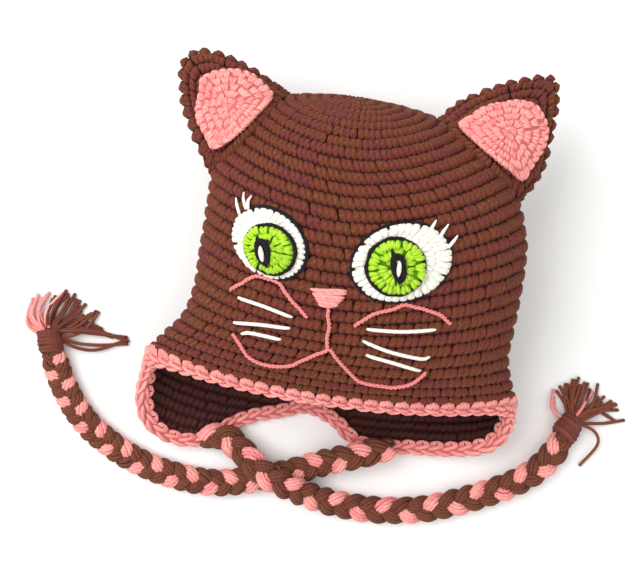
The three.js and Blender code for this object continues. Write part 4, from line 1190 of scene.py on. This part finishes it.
# Muzzle: pink strands sewn onto the fabric, in the photo's pixels
muzzle = (
    ((328.4, 307), (328.4, 317), (329.5, 327.4), (327.7, 338), (328.2, 349)),
    ((328.4, 349), (318, 353), (306, 358.2), (291, 365), (279, 366), (261.3, 362.7), (249, 356), (241.5, 344),
     (234, 333.4)),
    ((231.7, 290), (243, 284), (253.5, 278), (261.2, 277.2), (277.5, 282.5), (285, 290.7), (295.4, 303.5),
     (307.4, 317)),
    ((354, 325.2), (364.4, 319.2), (376.4, 313.7), (391.4, 310.2), (403.4, 305.4), (416.8, 307.7),
     (433.3, 312.5), (442.3, 317.7), (449.4, 323.7)),
    ((330.2, 348.4), (339, 360.4), (348, 370), (355.4, 378.4), (364.4, 382), (382.4, 384.7), (397.4, 385.6),
     (410.9, 382.6), (419.8, 376.2), (425, 371)),
)
muzzleStrand = {"radius": 0.00062, "lift": 0.0013, "twist": 0.0042, "apart": 0.00045, "step": 0.0006,
                "wander": 0.00012}


# The line of a strand on the face, through the photo's pixels, and the face's normals along it
def strandOnFace(pixels, step):
    line = smoothLine(fromPhoto(pixels, 0.0)[0], step)
    return faceAt(line[:, 0], line[:, 1])


# Two plies turned round each other
def addTwist(parts, line, normal, radius, apart, twist, tint):
    lengths = arcLengths(line)
    side = unit(np.cross(np.gradient(line, axis=0), normal))
    for phase in (0, math.pi):
        turn = lengths / twist * 2 * math.pi + phase
        addTube(parts, line + (side * np.cos(turn)[:, None] + normal * np.sin(turn)[:, None]) * apart, radius,
                sides=6, tint=tint, up=normal)


parts = emptyParts()
for pixels in muzzle:
    place, normal = strandOnFace(pixels, muzzleStrand["step"])
    wave = rng.normal(0, muzzleStrand["wander"], (len(place), 1)).cumsum(0)
    wave -= np.linspace(0, 1, len(wave))[:, None] * wave[-1]
    side = unit(np.cross(np.gradient(place, axis=0), normal))
    addTwist(parts, place + normal * muzzleStrand["lift"] + side * wave * 0.6, normal, muzzleStrand["radius"],
             muzzleStrand["apart"], muzzleStrand["twist"], 0.0)
finishPiece("muzzle_lines", parts, [pinkYarn], "pink_yarn")

# Whiskers and lashes: single cream strands. Whiskers thin at both ends, lashes where they begin
whiskers = (
    ((239.2, 297.5), (265, 306), (292.4, 316.7)), ((234.7, 322.2), (262, 324), (290.2, 327.7)),
    ((242.2, 333.4), (249.7, 332), (266, 335), (281.2, 338.7)),
    ((366.6, 328.6), (401.9, 330.7), (434.8, 329)),
    ((362.6, 340.2), (389.9, 350.7), (419.8, 357.4), (428.8, 356)),
    ((365.9, 354.1), (393, 361.5), (419.8, 369.7)),
)
lashes = (
    ((238, 198.6), (239.2, 206), (241.5, 215)), ((245.7, 193), (245.6, 201), (248, 210)),
    ((253.2, 196.5), (250, 202), (249.8, 210)), ((435, 221), (432, 226), (428, 233)),
    ((447, 225), (442, 232), (436.5, 241)), ((456, 236), (452, 241.5), (446.5, 248)),
)
creamStrand = {"lift": 0.0017, "sink": 0.0006, "whisker": 0.00095, "lash": 0.00085, "whiskerStep": 0.0012,
               "lashStep": 0.0008}
parts = emptyParts()
for pixels in whiskers:
    place, normal = strandOnFace(pixels, creamStrand["whiskerStep"])
    share = np.linspace(-1, 1, len(place))
    addTube(parts, place + normal * (creamStrand["lift"] - creamStrand["sink"] * share ** 8)[:, None],
            creamStrand["whisker"] * (1 - 0.35 * share ** 8), sides=8, tint=0.6, up=normal)
for pixels in lashes:
    place, normal = strandOnFace(pixels, creamStrand["lashStep"])
    share = np.linspace(0, 1, len(place))
    addTube(parts, place + normal * creamStrand["lift"],
            creamStrand["lash"] * (0.45 + 0.55 * np.minimum(share * 2.2, 1)), sides=7, tint=0.6, up=normal)
finishPiece("whiskers_and_lashes", parts, [creamYarn], "cream_yarn")

# Nose: satin stitches laid across it, each a little shorter than the one above
nose = {"x": -0.09, "along": 0.29, "turn": 6, "width": 0.0172, "height": 0.0082, "lowerShare": 0.5,
        "strands": 6, "radius": 0.00105, "lift": 0.0008, "arch": 0.0016}
parts = emptyParts()
cos, sin = math.cos(nose["turn"] * degree), math.sin(nose["turn"] * degree)
for k in range(nose["strands"]):
    drop = (k + 0.5) / nose["strands"]
    half = nose["width"] / 2 * (1 + (nose["lowerShare"] - 1) * drop ** 1.2)
    share = np.linspace(-1, 1, 15)
    u = share * (half + rng.uniform(-0.0004, 0.0004)) + rng.uniform(-0.0003, 0.0003)
    v = nose["height"] * (0.5 - drop) + 0.0002 * np.sin(share * 3 + k) + share * rng.uniform(-0.0003, 0.0003)
    place, normal = faceAt(shell["width"] * nose["x"] + u * cos - v * sin,
                           shell["brimPlace"] + shell["depth"] * nose["along"] + u * sin + v * cos)
    arch = nose["lift"] + nose["arch"] * (1 - share ** 4) * (1 - 0.3 * (2 * drop - 1) ** 2)
    addTube(parts, place + normal * arch[:, None], nose["radius"] * (1 - 0.45 * share ** 6), sides=7,
            tint=0.5 + rng.normal(0, 0.12), up=normal)
finishPiece("nose_stitches", parts, [pinkYarn], "pink_yarn", "nose")
print("face sewn")


# Braided ties: three bundles of yarn plaited along the routes of the CAD. The left one starts further in,
# over the flap's edging.
routes = {
    "left": ((-71, -105.4, 6.6), (-64.5, -103.4, 8), (-58, -102.8, 8.4), (-52.5, -106.8, 9.9),
             (-46, -110.5, 14), (-39.5, -115.5, 17.8), (-32, -119.6, 19.2), (-22, -123.2, 17.5),
             (-10, -127.4, 12), (1, -130, 8.2), (14, -131.2, 6.4), (29, -131, 6), (50.5, -127.8, 6),
             (68.5, -121.6, 6), (86, -113.8, 6), (101, -105.5, 6), (112.5, -96, 6), (119.5, -86, 6),
             (123, -77, 6.2)),
    "right": ((30.5, -96, 13.4), (21, -99.2, 13.4), (12, -102.8, 13.2), (4, -106, 11), (-4, -109.5, 7.8),
              (-12.5, -113.5, 6), (-24, -118.5, 6), (-34, -121.3, 6), (-48, -126.2, 6), (-65.5, -129.2, 6),
              (-88, -127.4, 6), (-107, -122.3, 6), (-120, -116.3, 6), (-132.5, -108.5, 6), (-142, -99.5, 6),
              (-149, -90, 6), (-154.8, -80, 6), (-159, -70, 6.2)),
}
# Half the plait's width and height between the bundles' middles, a bundle and its yarns, and how far the
# plait draws together at its ends
braid = {"across": 0.0040, "rise": 0.0026, "bundle": 0.0023, "wide": 1.12, "high": 0.9, "yarn": 0.00105,
         "yarns": 9, "step": 0.0010, "twist": 0.07, "diameter": 0.012, "drop": 0.0003, "drawLength": 0.008,
         "drawnShare": 0.4}
# The plait's period at the flap and at the tassel
periods = {"left": (0.0288, 0.0250), "right": (0.0283, 0.0140)}
# Where each tie's pink bundle first comes up, as a share of the plait's period
braidPhase = {"left": 0.53, "right": 0.58}


def braidParts(name):
    path = smoothLine(np.array(routes[name]) * mm, braid["step"])
    path[:, 2] -= braid["drop"]
    lengths = arcLengths(path)
    tangent = unit(np.gradient(path, axis=0))
    side = unit(np.cross(tangent, (0, 0, 1)))
    rise = np.cross(side, tangent)
    parts = emptyParts()
    ends = np.clip(np.minimum(lengths, lengths[-1] - lengths) / braid["drawLength"], 0, 1) ** 0.5
    draw = ends * (1 - braid["drawnShare"]) + braid["drawnShare"]
    period = np.interp(lengths / lengths[-1], (0, 1), periods[name])
    turns = np.concatenate([[0], np.cumsum(np.diff(lengths) / period[1:])])
    for strand in range(3):
        turn = (turns + strand / 3 + braidPhase[name]) * 2 * math.pi
        middle = path + side * (braid["across"] * np.sin(turn) * draw)[:, None] \
            + rise * (braid["rise"] * np.sin(2 * turn) * draw)[:, None]
        along = unit(np.gradient(middle, axis=0))
        out = unit(np.cross(np.cross(along, rise), along))
        level = np.cross(along, out)
        for yarn in range(braid["yarns"]):
            place = yarn / braid["yarns"] * 2 * math.pi
            roll = place + lengths / braid["twist"] * 2 * math.pi + 0.07 * rng.standard_normal()
            line = middle + level * (np.cos(roll) * braid["bundle"] * braid["wide"])[:, None] \
                + out * (np.sin(roll) * braid["bundle"] * braid["high"])[:, None]
            line[:, 2] = np.maximum(line[:, 2], braid["yarn"])
            addTube(parts, line, braid["yarn"], sides=5, tint=0.5 + rng.normal(0, 0.14),
                    slot=1 if strand == 0 else 0, up=out)
    return parts, path, lengths[-1]


for name in routes:
    parts, path, length = braidParts(name)
    obj = finishPiece(f"braid_{name}_plait", parts, [braidBrown, pinkYarn], "braid_yarn", f"braid_{name}")
print("ties plaited")


# Tassels: loose ends that leave a wrapped knot and fan out on the cloth. Each lock has its tip in the
# photo's pixels, how far it bows to its left in shares of its length, how many ends it has and its yarn.
tassels = {
    "left": {"route": "right", "locks": (
        ((30, 300), 0.34, 3, 1), ((37, 295), 0.28, 2, 1), ((46, 293), 0.2, 3, 1), ((54, 296), 0.12, 2, 0),
        ((65, 292.5), 0.2, 1, 1), ((71, 292), 0.03, 4, 0), ((82, 301), -0.06, 4, 0), ((89, 309), -0.08, 4, 0),
        ((98.4, 311.5), -0.16, 2, 0), ((113, 333), 0.14, 3, 0), ((112, 336), 0.1, 1, 0),
        ((128.5, 339.6), 0.06, 2, 0), ((127.5, 342.5), -0.12, 2, 0))},
    "right": {"route": "left", "locks": (
        ((551.5, 391), 0.3, 2, 1), ((557, 387.5), -0.05, 2, 0), ((570, 381), 0.08, 4, 0),
        ((575.5, 377.5), 0.04, 3, 0), ((579.5, 381.5), 0.0, 3, 0), ((585, 382.5), 0.05, 3, 0),
        ((592, 392), 0.0, 1, 1), ((596.5, 383.5), -0.12, 2, 0), ((607, 397.5), -0.04, 4, 0),
        ((615.5, 402.5), -0.04, 3, 0), ((617, 407), 0.04, 3, 0), ((616, 421), 0.2, 2, 0),
        ((624, 421), -0.12, 1, 0), ((578.5, 466), 0.45, 1, 0))},
}
knot = {"length": 0.0125, "radius": 0.0062, "neck": 0.0042, "strand": 0.0011, "wraps": 11, "coreGap": 0.0012,
        "endsFrom": 0.86}
looseEnd = {"radius": 0.0009, "height": 0.0012, "rise": 0.0052, "apart": 0.0017, "step": 0.0018}


def knotRadius(share):
    return knot["neck"] + (knot["radius"] - knot["neck"]) * np.sin(math.pi * (share * 0.75 + 0.2)) ** 1.2


# The knot: slanting wraps of the plait's own yarn over a plain core
def addKnot(parts, core, along, across, up):
    share = np.linspace(0, 1, 13)
    addTube(parts, core + along * (share * knot["length"])[:, None], knotRadius(share) - knot["coreGap"],
            sides=10, tint=0.25)
    turn = np.linspace(0, 2 * math.pi, 26)[:-1]
    for wrap in range(knot["wraps"]):
        middle = (wrap + 0.5) / knot["wraps"]
        lean = 0.32 + rng.uniform(-0.12, 0.12)
        place = np.clip(middle * 0.92 + lean * 0.5 * np.sin(turn + 0.8), 0.02, 0.98)
        radius = knotRadius(place) + rng.uniform(-0.0003, 0.0005)
        line = core + along * (place * knot["length"])[:, None] + across * (np.cos(turn) * radius)[:, None] \
            + up * (np.sin(turn) * radius * 0.94)[:, None]
        line[:, 2] = np.maximum(line[:, 2], knot["strand"])
        addTube(parts, line, knot["strand"], sides=6, tint=0.5 + rng.normal(0, 0.18), closed=True, up=along)


for name, tassel in tassels.items():
    route = np.array(routes[tassel["route"]]) * mm
    along = unit((route[-1] - route[-2]) * [1, 1, 0])
    across = np.array([-along[1], along[0], 0])
    up = np.array([0, 0, 1.0])
    core = route[-1] - along * 0.001
    parts = emptyParts()
    addKnot(parts, core, along, across, up)
    root = core + along * knot["length"] * knot["endsFrom"]
    for pixel, bow, count, slot in tassel["locks"]:
        for k in range(count):
            tip = floorPoint(pixel, looseEnd["height"])
            spread = (k - (count - 1) / 2) * looseEnd["apart"]
            way = unit((tip - root) * [1, 1, 0])
            left = np.array([-way[1], way[0], 0])
            reach = np.linalg.norm((tip - root)[:2]) * (1 if k == 0 else rng.uniform(0.8, 0.99))
            start = root + across * (np.dot(way, across) * 0.003 + spread * 0.5) \
                + up * (rng.uniform(-0.0028, 0.003) - 0.001)
            bend = bow + rng.uniform(-0.05, 0.05)
            top = 0.001 + looseEnd["rise"] * rng.random()
            knots = [start]
            for share in (0.3, 0.62, 1.0):
                height = (1 - share) * top + looseEnd["height"] + (0.0012 * rng.random() if share < 1 else 0)
                sideways = 4 * share * (1 - share) * bend * reach + spread * (0.6 + 0.5 * share) \
                    + rng.normal(0, 0.0003)
                knots.append(root * [1, 1, 0] + way * reach * share + left * sideways + up * height)
            line = smoothLine(knots, looseEnd["step"])
            line[:, 2] = np.maximum(line[:, 2], looseEnd["radius"])
            addTube(parts, line, looseEnd["radius"], sides=6, tint=0.5 + rng.normal(0, 0.22), slot=slot)
    finishPiece(f"tassel_{name}_ends", parts, [tasselBrown, pinkYarn], "braid_yarn", f"tassel_{name}")
print("tassels made")


# A plain pale cloth, and soft light from the upper left: each lamp's place, size in metres and watts
studio = {"cloth": "#F4F4F2", "clothHalf": 4, "daylight": 0.62,
          "lamps": {"key": ((-0.9, 0.35, 1.3), 1.3, 25), "fill": ((0.8, -0.5, 1.4), 1.6, 9)}}


def addFloor():
    mesh = bpy.data.meshes.new("floor")
    bm = bmesh.new()
    bmesh.ops.create_grid(bm, x_segments=1, y_segments=1, size=studio["clothHalf"])
    bm.to_mesh(mesh)
    bm.free()
    floor = bpy.data.objects.new("floor", mesh)
    bpy.context.scene.collection.objects.link(floor)
    material = bpy.data.materials.new("pale_cotton_cloth")
    material.use_nodes = True
    tree = material.node_tree
    tree.nodes.clear()
    surface = addNode(tree, "ShaderNodeBsdfPrincipled", in_Roughness=0.95,
                      **{"in_Base Color": linear(studio["cloth"]), "in_Specular IOR Level": 0.1})
    addNode(tree, "ShaderNodeOutputMaterial", [("Surface", surface.outputs["BSDF"])])
    mesh.materials.append(material)


def addLight(name, place, size, power):
    data = bpy.data.lights.new(name, "AREA")
    data.energy = power
    data.size = size
    obj = bpy.data.objects.new(name, data)
    obj.location = place
    obj.rotation_euler = (-Vector(place)).to_track_quat("-Z", "Y").to_euler()
    bpy.context.scene.collection.objects.link(obj)


bpy.context.scene.view_settings.view_transform = "Standard"
world = bpy.data.worlds.new("world")
bpy.context.scene.world = world
world.use_nodes = True
world.node_tree.nodes["Background"].inputs["Color"].default_value = (1, 1, 1, 1)
world.node_tree.nodes["Background"].inputs["Strength"].default_value = studio["daylight"]
addFloor()
for name, (place, size, power) in studio["lamps"].items():
    addLight(name, place, size, power)
